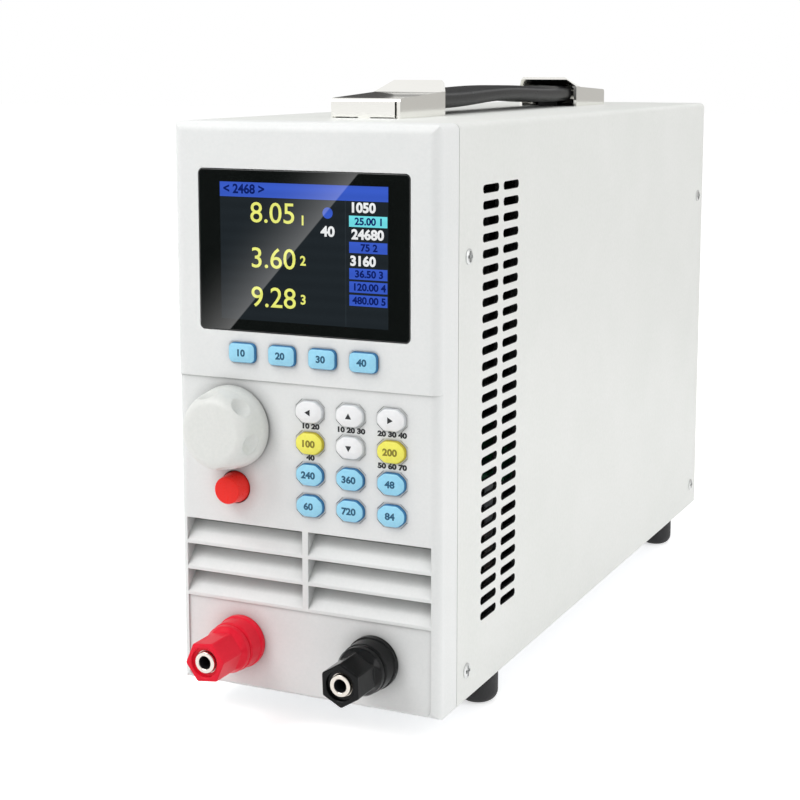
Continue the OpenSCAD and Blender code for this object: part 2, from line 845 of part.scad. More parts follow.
module lcd_module() {
    glass_y = window_y + lcd_gap;
    color("#30343a") in_case() translate([0, 0, window_z]) {
        prism_y(glass_y, face_t - glass_y)
            rounded(opening_w - 2 * lcd_gap, opening_h - 2 * lcd_gap, window_r - lcd_gap);
        prism_y(face_t, lcd_t)
            square([opening_w + 2 * lcd_lap, opening_h + 2 * lcd_lap], center = true);
    }
}

module keypad_mat() {
    color("#8d9398") in_case() prism_y(face_t, board_y - face_t) difference() {
        union() {
            translate([matrix_x, matrix_z]) square([matrix_w, matrix_h], center = true);
            translate([0, soft_z]) square([soft_row_w, soft_row_h], center = true);
            translate([matrix_x, (matrix_z + soft_z) / 2])
                square([ear_w, soft_z - matrix_z], center = true);
        }
        for (col = [0 : key_columns - 1], row = [0 : key_rows - 1])
            translate([key_place(col, row)[0], key_place(col, row)[2]])
                square([ear_w + 2 * mat_gap, key_h + 2 * mat_gap], center = true);
        for (i = [0 : soft_count - 1])
            translate([soft_place(i)[0], soft_z])
                square([ear_w + 2 * mat_gap, soft_h + 2 * mat_gap], center = true);
    }
}

module front_board() {
    color(board_green) in_case() prism_y(board_y, board_t) difference() {
        translate([-board_w / 2, board_low]) square([board_w, board_high - board_low]);
        translate([knob_x, knob_z]) circle(bush_r + bush_gap);
        translate([button_x, button_z]) circle(collar_r + 2 * button_gap);
        for (s = [-1, 1], z = [stake_low, stake_high])
            translate([s * stake_x, z]) circle(stake_pin_r + tap_gap);
    }
}

module encoder_body() {
    color(bare_steel) in_case() difference() {
        union() {
            block(knob_x, board_back, knob_z - encoder_w / 2, [encoder_w, encoder_d, encoder_w]);
            bar_y(bush_r, knob_x, knob_z, face_t / 2, board_back - face_t / 2 + cut);
        }
        bar_y(shaft_r + run_gap, knob_x, knob_z, 0, board_back + shaft_tail + run_gap);
    }
}

module encoder_shaft() {
    shaft_front = knob_gap + shaft_in;
    color(bare_steel) in_case()
        bar_y(shaft_r, knob_x, knob_z, -shaft_front, shaft_front + board_back + shaft_tail);
}

module control_knob() {
    dent_y = knob_l - knob_round;
    shoulder_r = knob_tip_r + knob_round;
    color("#e4e6e4") in_case() difference() {
        turned(knob_x, -knob_gap, knob_z) {
            polygon([
                [0, 0], [knob_r, 0], [knob_r, knob_foot], [shoulder_r, dent_y],
                [knob_tip_r, dent_y], [knob_tip_r, knob_l], [0, knob_l]
            ]);
            translate([knob_tip_r, dent_y]) intersection() {
                circle(knob_round);
                square(knob_round);
            }
        }
        for (i = [0 : dent_count - 1])
            translate([knob_x, 0, knob_z]) rotate([0, i * 360 / dent_count - dent_turn, 0])
                translate([shoulder_r + dent_r - dent_depth, -knob_gap - dent_y, 0])
                    sphere(dent_r);
        bar_y(shaft_r + tap_gap, knob_x, knob_z, -knob_gap - shaft_in, shaft_in + cut);
    }
}

module power_switch() {
    color("#26282b") in_case() difference() {
        block(button_x, board_back, button_z - switch_w / 2, [switch_w, switch_d, switch_w]);
        bar_y(button_stem_r + run_gap, button_x, button_z, board_back - cut, bore_in + cut);
    }
}

module power_button() {
    collar_back = board_back - button_travel - button_gap;
    color("#f03028") in_case() {
        bar_y(button_r, button_x, button_z, -button_out, button_out);
        bar_y(collar_r, button_x, button_z, -collar_out, collar_out + collar_back);
        bar_y(button_stem_r, button_x, button_z, 0, board_back + stem_in);
    }
}

// Flanges of a frame or panel along both sides, between the tray's own flanges and the cover's bend
module side_flanges(y0) {
    low = tray_h + tray_gap;
    for (s = [-1, 1])
        block(s * (inner_w - sheet_t) / 2, y0, low, [sheet_t, flange_d, inner_top - bend_r - low]);
}

// Tapped holes for the side screws at one height
module tap_holes(y, z) {
    prism_x(-case_w / 2, case_w) translate([y, z]) circle(screw_r + tap_gap);
}

module front_frame() {
    open_w = inner_w - 2 * frame_border;
    open_h = inner_top - 2 * frame_border;
    color(bare_steel) in_case() difference() {
        union() {
            prism_y(frame_y, sheet_t) arch(inner_w, inner_top, bend_r);
            side_flanges(frame_y + sheet_t);
        }
        block(0, frame_y - cut, frame_border, [open_w, sheet_t + 2 * cut, open_h]);
        tap_holes(screw_depths[0], screw_high);
    }
}

module top_cover() {
    color(cover_white) in_case() difference() {
        prism_y(cover_y, case_d - cover_y) difference() {
            arch(case_w, case_h, bend_r);
            translate([0, -cut]) arch(case_w - 2 * sheet_t, case_h - sheet_t + cut, bend_r - sheet_t);
        }
        for (i = [0 : vent_rows - 1], j = [0, 1])
            prism_x(-case_w / 2 - cut, case_w + 2 * cut)
                translate([vent_y + j * vent_gap_y, vent_top - i * vent_pitch])
                    slot_outline(vent_l, vent_h);
        for (y = screw_depths, z = screw_rows)
            prism_x(-case_w / 2 - cut, case_w + 2 * cut)
                translate([y, z]) circle(screw_r + hole_gap);
        for (p = handle_fixings)
            translate([p[0], p[1], case_h - sheet_t - cut])
                cylinder(r = screw_r + hole_gap, h = sheet_t + 2 * cut);
    }
}

module base_tray() {
    color(bare_steel) in_case() difference() {
        prism_y(tray_y, rear_y - tray_y) difference() {
            translate([-inner_w / 2, 0]) square([inner_w, tray_h]);
            translate([sheet_t - inner_w / 2, sheet_t]) square([inner_w - 2 * sheet_t, tray_h]);
        }
        for (y = screw_depths)
            tap_holes(y, screw_low);
        for (s = [-1, 1], y = foot_depths)
            translate([s * foot_x, y, -cut])
                cylinder(r = foot_pin_r + tap_gap, h = sheet_t + 2 * cut);
    }
}

module rear_panel() {
    color(cover_white) in_case() difference() {
        union() {
            prism_y(rear_y, sheet_t) arch(inner_w, inner_top, bend_r);
            side_flanges(rear_y - flange_d);
        }
        bar_y(fan_bore_r, 0, fan_z, rear_y - cut, sheet_t + 2 * cut);
        for (p = fan_corners)
            bar_y(fan_screw_r + hole_gap, p[0], p[1], rear_y - cut, sheet_t + 2 * cut);
        block(inlet_x, rear_y - cut, socket_z - inlet_h / 2 - fit_gap,
            [inlet_w + 2 * fit_gap, sheet_t + 2 * cut, inlet_h + 2 * fit_gap]);
        block(port_x, rear_y - cut, socket_z - port_shell_h / 2 - fit_gap,
            [port_shell_w + 2 * fit_gap, sheet_t + 2 * cut, port_shell_h + 2 * fit_gap]);
        for (s = [-1, 1])
            bar_y(screw_r + hole_gap, port_x + s * jack_pitch / 2, socket_z,
                rear_y - cut, sheet_t + 2 * cut);
        tap_holes(screw_depths[1], screw_high);
    }
}

// Pan-head screw along Z with its head seated on zero and its shank below
module pan_screw(r_head, h_head, r_shank, l_shank) {
    difference() {
        union() {
            cylinder(r = r_head, h = h_head / 2);
            translate([0, 0, h_head / 2])
                cylinder(r1 = r_head, r2 = r_head * head_crown, h = h_head / 2);
        }
        for (a = [0, 90])
            rotate([0, 0, a]) translate([-r_head * cross_reach, -cross_w / 2, h_head - cross_depth])
                cube([2 * r_head * cross_reach, cross_w, h_head]);
    }
    translate([0, 0, -l_shank]) cylinder(r = r_shank, h = l_shank);
}

module cover_screws() {
    color(bare_steel) in_case()
        for (s = [-1, 1], y = screw_depths, z = screw_rows)
            translate([s * case_w / 2, y, z]) rotate([0, s * 90, 0])
                pan_screw(head_r, head_h, screw_r, screw_l);
}

module rubber_feet() {
    color(soft_black) in_case()
        for (s = [-1, 1], y = foot_depths)
            translate([s * foot_x, y, -foot_h]) {
                cylinder(r1 = foot_r, r2 = foot_top_r, h = foot_h);
                cylinder(r = foot_pin_r, h = foot_h + sheet_t + foot_pin_l);
            }
}

// Base of a binding post, seated on the recessed panel
module terminal_base(s, tint) {
    color(tint) in_case() turned(s * post_x, panel_step, post_z) polygon([
        [stud_r + tap_gap, 0], [base_r, 0], [base_r, base_foot],
        [base_tip_r, base_l], [stud_r + tap_gap, base_l]
    ]);
}

module terminal_studs() {
    stud_back = nut_y + nut_t + stud_tail;
    color(bright_nickel) in_case()
        for (s = [-1, 1])
            difference() {
                bar_y(stud_r, s * post_x, post_z, -post_reach, post_reach + stud_back);
                bar_y(socket_r, s * post_x, post_z, -post_reach - cut, socket_l + cut);
            }
}

module terminal_nuts() {
    color(bright_nickel) in_case()
        for (s = [-1, 1])
            translate([s * post_x, 0, post_z]) prism_y(nut_y, nut_t) difference() {
                circle(nut_flats / sqrt(3), $fn = 6);
                circle(stud_r + tap_gap, $fn = 64);
            }
}

module bus_bars() {
    color(copper) in_case()
        for (s = [-1, 1])
            difference() {
                union() {
                    block(s * post_x, face_t, post_z - bar_w / 2,
                        [bar_w, bar_t, bar_z + bar_t + bar_w / 2 - post_z]);
                    block(s * post_x, face_t, bar_z, [bar_w, bar_end - face_t, bar_t]);
                    block(s * post_x, bar_end - bar_t, bar_z, [bar_w, bar_t, load_z - bar_z]);
                }
                bar_y(stud_r + tap_gap, s * post_x, post_z, 0, face_t + bar_t + cut);
            }
}

// Threaded metal insert inside a post cap
module terminal_insert(s) {
    color(bright_nickel) in_case() translate([0, panel_step - cap_y, 0])
        turned(s * post_x, 0, post_z) translate([stud_r + run_gap, 0]) square([insert_t, insert_l]);
}

// Screw cap of a binding post: a round collar behind six flats
module terminal_cap(s, turn, tint) {
    hex_r = cap_flats / sqrt(3);
    round_r = hex_r * cap_corner;
    taper_end = cap_collar + cap_taper;
    color(tint) in_case() translate([0, panel_step - cap_y, 0]) difference() {
        union() {
            turned(s * post_x, 0, post_z) polygon([
                [0, 0], [cap_r, 0], [cap_r, cap_collar], [round_r, taper_end], [0, taper_end]
            ]);
            intersection() {
                translate([s * post_x, 0, post_z]) rotate([0, turn, 0])
                    prism_y(-cap_l, cap_l) circle(hex_r, $fn = 6);
                turned(s * post_x, 0, post_z) polygon([
                    [0, 0], [round_r, 0], [round_r, cap_l - cap_bevel],
                    [round_r - cap_bevel, cap_l], [0, cap_l]
                ]);
            }
        }
        bar_y(insert_r + run_gap, s * post_x, post_z, cap_front_t - cap_l, cap_l);
        bar_y(stud_r + cap_mouth, s * post_x, post_z, -cap_l - cut, cap_l);
    }
}

// Mirrors a handle part to the rear end when end is -1
module handle_end(end) {
    mid = handle_y + handle_l / 2;
    translate([0, mid, case_h]) scale_y(end) translate([0, -handle_l / 2, 0]) children();
}

// Leaves the front end as drawn and mirrors the rear end
module scale_y(end) {
    if (end > 0) children();
    else mirror([0, 1, 0]) children();
}

// Outer form of an end cap, drawn smaller all round by an inset
module hcap_form(inset, open) {
    half = hcap_w / 2 - inset;
    low = hcap_low - inset;
    high = hcap_high - inset;
    top = hood_h - inset;
    side = half - hood_side;
    lip = hcap_l + hood_out + open;
    ramp = low + (high - low) * (1 - hood_l / hcap_l);
    prism_x(-half, 2 * half) polygon([
        [inset, -open], [hcap_l + open, -open], [hcap_l + open, high], [inset, low]
    ]);
    intersection() {
        prism_y(hcap_l - hood_l, hood_l + hood_out + open) polygon([
            [-half, 0], [half, 0], [half, high], [side, top], [-side, top], [-half, high]
        ]);
        prism_x(-half, 2 * half) polygon([
            [hcap_l - hood_l, 0], [hcap_l + open, 0], [hcap_l + open, high],
            [lip, top - hcap_t], [lip, top], [hcap_l - hood_l, ramp]
        ]);
    }
}

module handle_cap(end) {
    color(bright_nickel) in_case() handle_end(end) {
        difference() {
            hcap_form(0, 0);
            hcap_form(hcap_t, cut);
        }
        for (s = [-1, 1])
            translate([s * hpost_x, hpost_in, 0]) difference() {
                cylinder(r = hpost_r, h = hcap_low - hcap_t / 2);
                translate([0, 0, -cut])
                    cylinder(r = screw_r + tap_gap, h = hcap_low - 2 * hcap_t + cut);
            }
    }
}

module handle_screws() {
    shank = sheet_t + hcap_low - 3 * hcap_t;
    color(bare_steel) in_case()
        for (p = handle_fixings)
            translate([p[0], p[1], case_h - sheet_t]) rotate([180, 0, 0])
                pan_screw(head_r, head_h, screw_r, shank);
}

// Length of strap with its full section, from y0 back
module strap_run(y0, l) {
    translate([0, 0, strap_gap + strap_t / 2]) prism_y(y0, l) rounded(strap_w, strap_t, strap_r);
}

module handle_grip() {
    color(soft_black) in_case() handle_end(1)
        strap_run((handle_l - grip_l) / 2, grip_l);
}

module strap_flex(end) {
    color(soft_black) in_case() handle_end(end)
        strap_run(hcap_l + strap_show, flex_l);
}

module strap_end(end) {
    color(soft_black) in_case() handle_end(end) {
        strap_run(hcap_l, strap_show);
        block(0, hcap_l - tongue_l, 0, [tongue_w, tongue_l + cut, tongue_t]);
    }
}

module load_board() {
    color(board_green) in_case() block(0, load_y, load_z, [load_w, load_l, board_t]);
}

module board_posts() {
    color(bare_steel) in_case()
        for (s = [-1, 1], y = [load_y + load_inset, load_y + load_l - load_inset])
            translate([s * (load_w / 2 - load_inset), y, sheet_t])
                cylinder(r = board_post_w / sqrt(3), h = load_z - sheet_t, $fn = 6);
}

module heat_sink() {
    fin_pitch = (sink_w - fin_t) / (fin_count - 1);
    color("#a9adb2") in_case() {
        block(0, sink_y, sink_z, [sink_w, sink_l, sink_base]);
        for (i = [0 : fin_count - 1])
            block(i * fin_pitch - (sink_w - fin_t) / 2, sink_y, sink_z,
                [fin_t, sink_l, sink_base + fin_h]);
    }
}

module power_transistors() {
    fet_pitch = (sink_w - fet_w) / (fet_count - 1);
    color("#1d1f22") in_case()
        for (i = [0 : fet_count - 1])
            block(i * fet_pitch - (sink_w - fet_w) / 2, sink_y + (sink_l - fet_l) / 2, load_top,
                [fet_w, fet_l, fet_t]);
}

module transformer() {
    core_y = case_d - core_rear - core_l / 2;
    coil_w = core_w * coil_w_share;
    coil_h = core_h * coil_h_share;
    color("#6a6f75") in_case() {
        block(0, core_y, sheet_t, [core_w, core_l, core_h]);
        block(0, core_y - coil_out, sheet_t + (core_h - coil_h) / 2,
            [coil_w, core_l + 2 * coil_out, coil_h]);
    }
}

module fan_frame() {
    motor_r = hub_r - blade_gap;
    color(soft_black) in_case() difference() {
        union() {
            difference() {
                block(0, fan_y, fan_z - fan_w / 2, [fan_w, fan_d, fan_w]);
                bar_y(fan_bore_r, 0, fan_z, fan_y - cut, fan_d + 2 * cut);
            }
            bar_y(motor_r, 0, fan_z, fan_y, strut_t);
            for (a = [45, 135])
                translate([0, 0, fan_z]) rotate([0, a, 0])
                    block(0, fan_y, -fan_bore_r - fan_wall / 2,
                        [strut_t, strut_t, 2 * fan_bore_r + fan_wall]);
        }
        bar_y(fan_shaft_r + run_gap, 0, fan_z, fan_y - cut, fan_d);
        for (p = fan_corners)
            bar_y(fan_screw_r + tap_gap, p[0], p[1], fan_y - cut, fan_d + 2 * cut);
    }
}

module fan_impeller() {
    hub_y = fan_y + strut_t + blade_gap;
    hub_l = fan_d - strut_t - 3 * blade_gap;
    tip_r = fan_bore_r - blade_gap;
    color("#2b2d31") in_case() {
        bar_y(hub_r, 0, fan_z, hub_y, hub_l);
        bar_y(fan_shaft_r, 0, fan_z, fan_y, hub_y - fan_y + cut);
        intersection() {
            bar_y(tip_r, 0, fan_z, hub_y, hub_l);
            translate([0, hub_y + hub_l / 2, fan_z])
                for (i = [0 : blade_count - 1])
                    rotate([0, i * 360 / blade_count, 0])
                        translate([0, 0, hub_r - blade_t]) rotate([0, 0, blade_tilt])
                            translate([-blade_t / 2, -hub_l, 0]) cube([blade_t, 2 * hub_l, tip_r]);
        }
    }
}

module fan_guard() {
    ring_step = (fan_bore_r - wire_w) / guard_rings;
    arm = fan_pitch / sqrt(2);
    color(bright_nickel) in_case() {
        for (i = [1 : guard_rings])
            translate([0, 0, fan_z]) prism_y(panel_y + ring_lift, wire_w) difference() {
                circle(i * ring_step + wire_w / 2);
                circle(i * ring_step - wire_w / 2);
            }
        difference() {
            union() {
                for (a = [45, 135])
                    translate([0, 0, fan_z]) rotate([0, a, 0])
                        block(0, panel_y, -arm, [wire_w, wire_w, 2 * arm]);
                for (p = fan_corners)
                    bar_y(fan_screw_r + 2 * wire_w, p[0], p[1], panel_y, wire_w);
            }
            for (p = fan_corners)
                bar_y(fan_screw_r + hole_gap, p[0], p[1], panel_y - cut, wire_w + 2 * cut);
        }
    }
}

module fan_screws() {
    color(bare_steel) in_case()
        for (p = fan_corners)
            translate([p[0], panel_y + wire_w, p[1]]) rotate([-90, 0, 0])
                pan_screw(fan_head_r, fan_head_h, fan_screw_r, fan_d / 2 + wire_w);
}

module mains_inlet() {
    well_w = inlet_w - 2 * inlet_wall;
    well_h = inlet_h - 2 * inlet_wall;
    well_y = panel_y + inlet_rim_t - inlet_well;
    color("#1c1d20") in_case() difference() {
        union() {
            block(inlet_x, panel_y - inlet_d, socket_z - inlet_h / 2,
                [inlet_w, inlet_d + cut, inlet_h]);
            translate([inlet_x, 0, socket_z]) prism_y(panel_y, inlet_rim_t)
                rounded(inlet_w + 2 * inlet_rim, inlet_h + 2 * inlet_rim, inlet_rim);
        }
        difference() {
            block(inlet_x, well_y, socket_z - well_h / 2, [well_w, inlet_well + cut, well_h]);
            for (p = inlet_pins)
                block(inlet_x + p[0], well_y - cut, socket_z + p[1] - inlet_pin_h / 2,
                    [inlet_pin_w, inlet_pin_l + cut, inlet_pin_h]);
        }
    }
}

module serial_port() {
    plate_y = rear_y - port_t;
    reach = panel_y + port_out - plate_y;
    color("#7d8288") in_case() translate([port_x, 0, socket_z]) difference() {
        union() {
            block(0, plate_y, -port_h / 2, [port_w, port_t, port_h]);
            prism_y(plate_y, reach) rounded(port_shell_w, port_shell_h, port_shell_r);
            for (s = [-1, 1]) {
                bar_y(screw_r, s * jack_pitch / 2, 0, plate_y, reach);
                translate([s * jack_pitch / 2, 0, 0])
                    prism_y(panel_y, port_out) circle(jack_r, $fn = 6);
            }
            block(0, plate_y - port_body_d, -port_shell_h / 2,
                [port_shell_w, port_body_d + cut, port_shell_h]);
        }
        for (i = [-2 : 2])
            bar_y(pin_r, i * pin_step, pin_rise, panel_y, port_out + cut);
        for (i = [-1.5 : 1.5])
            bar_y(pin_r, i * pin_step, -pin_rise, panel_y, port_out + cut);
    }
}

front_bezel();
display_window();
lcd_module();
keypad_mat();
front_board();
encoder_body();
encoder_shaft();
control_knob();
power_switch();
power_button();
for (i = [0 : soft_count - 1])
    soft_key(i);
for (k = MATRIX_KEYS)
    matrix_key(k[1], k[2], k[3]);
front_frame();
top_cover();
base_tray();
rear_panel();
cover_screws();
rubber_feet();
terminal_base(-1, post_red);  // red_terminal_base
terminal_base(1, soft_black);  // black_terminal_base
terminal_studs();
terminal_nuts();
bus_bars();
terminal_insert(-1);  // red_terminal_insert
terminal_insert(1);  // black_terminal_insert
terminal_cap(-1, 0, post_red);  // red_terminal_cap
terminal_cap(1, cap_turn, soft_black);  // black_terminal_cap
handle_cap(1);  // handle_cap_front
handle_cap(-1);  // handle_cap_rear
handle_grip();
strap_flex(1);  // strap_flex_front
strap_flex(-1);  // strap_flex_rear
strap_end(1);  // strap_end_front
strap_end(-1);  // strap_end_rear
handle_screws();
load_board();
board_posts();
heat_sink();
power_transistors();
transformer();
fan_frame();
fan_impeller();
fan_guard();
fan_screws();
mains_inlet();
serial_port();
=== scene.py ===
"""Looks of a bench dc electronic load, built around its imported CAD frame. Lengths are in metres."""
import json
import math

import bmesh
import bpy
from mathutils import Matrix, Vector


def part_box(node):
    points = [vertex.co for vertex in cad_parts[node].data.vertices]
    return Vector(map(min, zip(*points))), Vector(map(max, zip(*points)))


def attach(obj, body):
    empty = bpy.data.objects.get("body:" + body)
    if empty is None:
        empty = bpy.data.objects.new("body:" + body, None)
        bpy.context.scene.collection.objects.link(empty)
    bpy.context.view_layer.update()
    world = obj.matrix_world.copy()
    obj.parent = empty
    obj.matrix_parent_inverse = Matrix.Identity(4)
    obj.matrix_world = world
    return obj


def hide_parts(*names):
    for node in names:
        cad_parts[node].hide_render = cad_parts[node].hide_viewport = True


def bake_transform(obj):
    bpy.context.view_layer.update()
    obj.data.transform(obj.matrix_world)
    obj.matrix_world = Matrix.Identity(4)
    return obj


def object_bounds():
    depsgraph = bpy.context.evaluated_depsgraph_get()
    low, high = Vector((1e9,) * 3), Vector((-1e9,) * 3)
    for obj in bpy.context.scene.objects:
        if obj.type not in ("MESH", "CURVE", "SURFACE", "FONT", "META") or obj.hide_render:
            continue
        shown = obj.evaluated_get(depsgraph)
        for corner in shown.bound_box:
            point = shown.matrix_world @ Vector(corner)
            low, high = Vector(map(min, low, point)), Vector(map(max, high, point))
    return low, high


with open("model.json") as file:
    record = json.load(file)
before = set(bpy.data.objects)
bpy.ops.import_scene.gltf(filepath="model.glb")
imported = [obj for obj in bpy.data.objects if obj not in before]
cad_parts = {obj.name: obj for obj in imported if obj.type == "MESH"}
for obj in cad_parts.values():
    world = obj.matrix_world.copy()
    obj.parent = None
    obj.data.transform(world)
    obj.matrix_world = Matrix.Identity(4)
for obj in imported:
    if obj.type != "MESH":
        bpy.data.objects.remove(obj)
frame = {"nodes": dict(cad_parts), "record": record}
cad_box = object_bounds()

MM = 0.001
HAIR = 0.02 * MM          # how far printed ink stands on its surface
SHARP = math.radians(32)  # edges that turn by more than this stay crisp
MERGE = 1e-6              # points nearer to each other than this become one
LETTER_STEPS = 4          # straight pieces in each curve of a printed figure

# Camera at the photograph's viewing angle
EYE = Vector((0.23434, -0.56770, 0.20236))
AZIMUTH = math.radians(24.982)
ELEVATION = math.radians(8.335)
LENS, SENSOR = 76.161, 36
SHIFT_Y = -0.1125
NEAR_CLIP = 0.02

# Values that finishes share
GRAIN_DETAIL = 3          # how many finer noises a grain holds
CLOUD = 28 * MM           # size of the slow clouds in a tone
TONE_SPAN = (0.7, 1.3)    # sum of both noises that runs from one tone to the other
GLOSS_SPAN = (0.3, 0.7)   # noise that runs from the lower to the higher roughness
HOLLOW_SHARE = 0.65       # how much of a hollow's shade is taken
HOLLOW_SAMPLES, EDGE_SAMPLES = 8, 6
SIDEWAYS = 0.5            # a face whose normal has less than this along X does not look sideways
BACKLIGHT_BAND = 1.2 * math.pi * MM   # spacing of the faint bands in the display's light
BAND_DIM = 0.9            # how bright a band is at its darkest
WAVE_RADIANS = 20         # what a wave texture turns through in one unit of its scale
SPECULAR = "Specular IOR Level"
# Socket numbers of a colour mix: its share, its two colours and its result
SHARE, FIRST, SECOND, MIXED = 0, 6, 7, 2


def linear(code):
    """Linear colour of an sRGB hex value."""
    parts = [int(code[i:i + 2], 16) / 255 for i in (1, 3, 5)]
    return [c / 12.92 if c <= 0.04045 else ((c + 0.055) / 1.055) ** 2.4 for c in parts] + [1.0]


def add(tree, kind, sockets=None, **settings):
    """Adds a node with its settings; sockets holds input values, or the outputs that are linked to them."""
    made = tree.nodes.new(kind)
    for name, value in settings.items():
        setattr(made, name, value)
    for name, value in (sockets or {}).items():
        several = isinstance(value, list) and isinstance(value[0], bpy.types.NodeSocket)
        for item in value if several else [value]:
            if isinstance(item, bpy.types.NodeSocket):
                tree.links.new(item, made.inputs[name])
            else:
                made.inputs[name].default_value = item
    return made


def blank(name):
    """New material with an empty tree and its output node."""
    mat = bpy.data.materials.new(name)
    mat.use_nodes = True
    mat.node_tree.nodes.clear()
    return mat, mat.node_tree, add(mat.node_tree, "ShaderNodeOutputMaterial")


def painted_hollow_shade(tree, tint, width):
    """Tint with painted shade: darker in hollows up to that wide."""
    shade = add(tree, "ShaderNodeAmbientOcclusion", {"Color": tint, "Distance": width},
                samples=HOLLOW_SAMPLES)
    return add(tree, "ShaderNodeMix", {SHARE: HOLLOW_SHARE, FIRST: tint, SECOND: shade.outputs[0]},
               data_type="RGBA").outputs[MIXED]


def painted_slot_shade(tree, tint, place, low, high):
    """Tint with painted shade: near black between two corners in y and z, on faces that do not look sideways.
    """
    normal = add(tree, "ShaderNodeNewGeometry").outputs["True Normal"]
    facing = add(tree, "ShaderNodeSeparateXYZ", {0: normal})
    spot = add(tree, "ShaderNodeSeparateXYZ", {0: place})
    inside = add(tree, "ShaderNodeMath", {0: facing.outputs["X"], 1: 0.0, 2: SIDEWAYS},
                 operation="COMPARE").outputs[0]
    for axis, start, end in zip("YZ", low, high):
        reach = {0: spot.outputs[axis], 1: (start + end) / 2, 2: (end - start) / 2}
        near = add(tree, "ShaderNodeMath", reach, operation="COMPARE").outputs[0]
        inside = add(tree, "ShaderNodeMath", {0: inside, 1: near}, operation="MULTIPLY").outputs[0]
    return add(tree, "ShaderNodeMix", {SHARE: inside, FIRST: tint, SECOND: linear("#0c0c0d")},
               data_type="RGBA").outputs[MIXED]


def surface(name, tones, grain, relief, rough, stretch=(1, 1, 1), edge=0, hollow=0, slot_shade_corners=None, **shader):
    """Finish with two tones mottled by a grain of that many mm and by slow clouds, a roughness that
    runs between two values, a relief in mm, a pattern drawn out along an axis by stretch, edges
    softened over edge mm, painted shade that darkens hollows up to that many mm wide, and painted
    shade, near black, between two given corners in y and z on faces that do not look sideways. shader
    holds constant values of the shader's own sockets. A grain that is really finer than about 0.3 mm
    is drawn coarser, because it would not show."""
    mat, tree, out = blank(name)
    place = add(tree, "ShaderNodeTexCoord").outputs["Object"]
    drawn = add(tree, "ShaderNodeMapping", {"Vector": place, "Scale": stretch}).outputs[0]
    fine = add(tree, "ShaderNodeTexNoise", {"Vector": drawn, "Scale": 1 / (grain * MM),
                                            "Detail": GRAIN_DETAIL}).outputs[0]
    slow = add(tree, "ShaderNodeTexNoise", {"Vector": place, "Scale": 1 / CLOUD}).outputs[0]
    both = add(tree, "ShaderNodeMath", {0: fine, 1: slow}, operation="ADD").outputs[0]
    share = add(tree, "ShaderNodeMapRange", {"Value": both, "From Min": TONE_SPAN[0],
                                             "From Max": TONE_SPAN[1]})
    ends = {FIRST: linear(tones[0]), SECOND: linear(tones[1])}
    tint = add(tree, "ShaderNodeMix", {SHARE: share.outputs[0], **ends}, data_type="RGBA").outputs[MIXED]
    # Painted shade: a darker colour in hollows, and near black on the walls of the vent slots
    if hollow:
        tint = painted_hollow_shade(tree, tint, hollow * MM)
    if slot_shade_corners:
        tint = painted_slot_shade(tree, tint, place, *slot_shade_corners)
    gloss = add(tree, "ShaderNodeMapRange", {"Value": fine, "From Min": GLOSS_SPAN[0],
                                             "From Max": GLOSS_SPAN[1], "To Min": rough[0],
                                             "To Max": rough[1]})
    bump = add(tree, "ShaderNodeBump", {"Height": fine, "Distance": relief * MM})
    if edge:
        soft = add(tree, "ShaderNodeBevel", {"Radius": edge * MM}, samples=EDGE_SAMPLES)
        tree.links.new(soft.outputs[0], bump.inputs["Normal"])
    made = add(tree, "ShaderNodeBsdfPrincipled", {"Base Color": tint, "Roughness": gloss.outputs[0],
                                                  "Normal": bump.outputs[0], **shader})
    tree.links.new(made.outputs[0], out.inputs[0])
    return mat


def glowing(name, code):
    """Lit picture area under glass: even colour with the faint bands of a back light."""
    mat, tree, out = blank(name)
    place = add(tree, "ShaderNodeTexCoord").outputs["Object"]
    scale = 2 * math.pi / (WAVE_RADIANS * BACKLIGHT_BAND)
    rows = add(tree, "ShaderNodeTexWave", {"Vector": place, "Scale": scale}, bands_direction="Z")
    dim = [c * BAND_DIM for c in linear(code)[:3]] + [1]
    tint = add(tree, "ShaderNodeMix", {SHARE: rows.outputs[1], FIRST: linear(code), SECOND: dim},
               data_type="RGBA")
    made = add(tree, "ShaderNodeBsdfPrincipled", {
        "Base Color": linear("#050607"), "Roughness": 0.0, "IOR": 1.5,
        "Emission Color": tint.outputs[MIXED], "Emission Strength": 1.0})
    tree.links.new(made.outputs[0], out.inputs[0])
    return mat


# Moulded ABS with a fine spark-eroded grain: matt white that breaks highlights up softly, with painted shade
# in its hollows such as the louvres and the gaps around the keys
bezel_abs = surface("abs_spark_textured_white", ("#eeefee", "#e9ebea"), 0.9, 0.012, (0.42, 0.54), edge=0.35,
                    hollow=5, IOR=1.53)

# Powder coat on folded steel: white, faint orange peel, a broad soft sheen; painted shade makes the walls of
# its vent slots near black
cover_lo, cover_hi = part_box("top_cover")
SLOTS_LOW = (cover_lo.y + 17.65 * MM, cover_lo.z + 20 * MM)
SLOTS_HIGH = (cover_lo.y + 48.15 * MM, cover_hi.z - 18 * MM)
cover_paint = surface("powder_coated_steel_white", ("#ebece9", "#e6e8e4"), 1.3, 0.02, (0.4, 0.52), edge=0.25,
                      slot_shade_corners=(SLOTS_LOW, SLOTS_HIGH), IOR=1.5)

RUBBER_FINISH = {"IOR": 1.42, SPECULAR: 0.4}
FACE_GLOSS, SIDE_GLOSS = (0.34, 0.46), (0.4, 0.5)


def silicone(colour, tones, rough):
    """Moulded silicone rubber: satin faces, and sides in darker copies of the face colours that are painted
    shade.
    """
    return surface("silicone_moulded_" + colour, tones, 0.8, 0.006, rough, **RUBBER_FINISH)


key_blue = silicone("blue", ("#a6e2fb", "#9adaf6"), FACE_GLOSS)
key_yellow = silicone("yellow", ("#fcf66e", "#f5ed62"), FACE_GLOSS)
key_white = silicone("white", ("#fafafa", "#f4f5f6"), FACE_GLOSS)
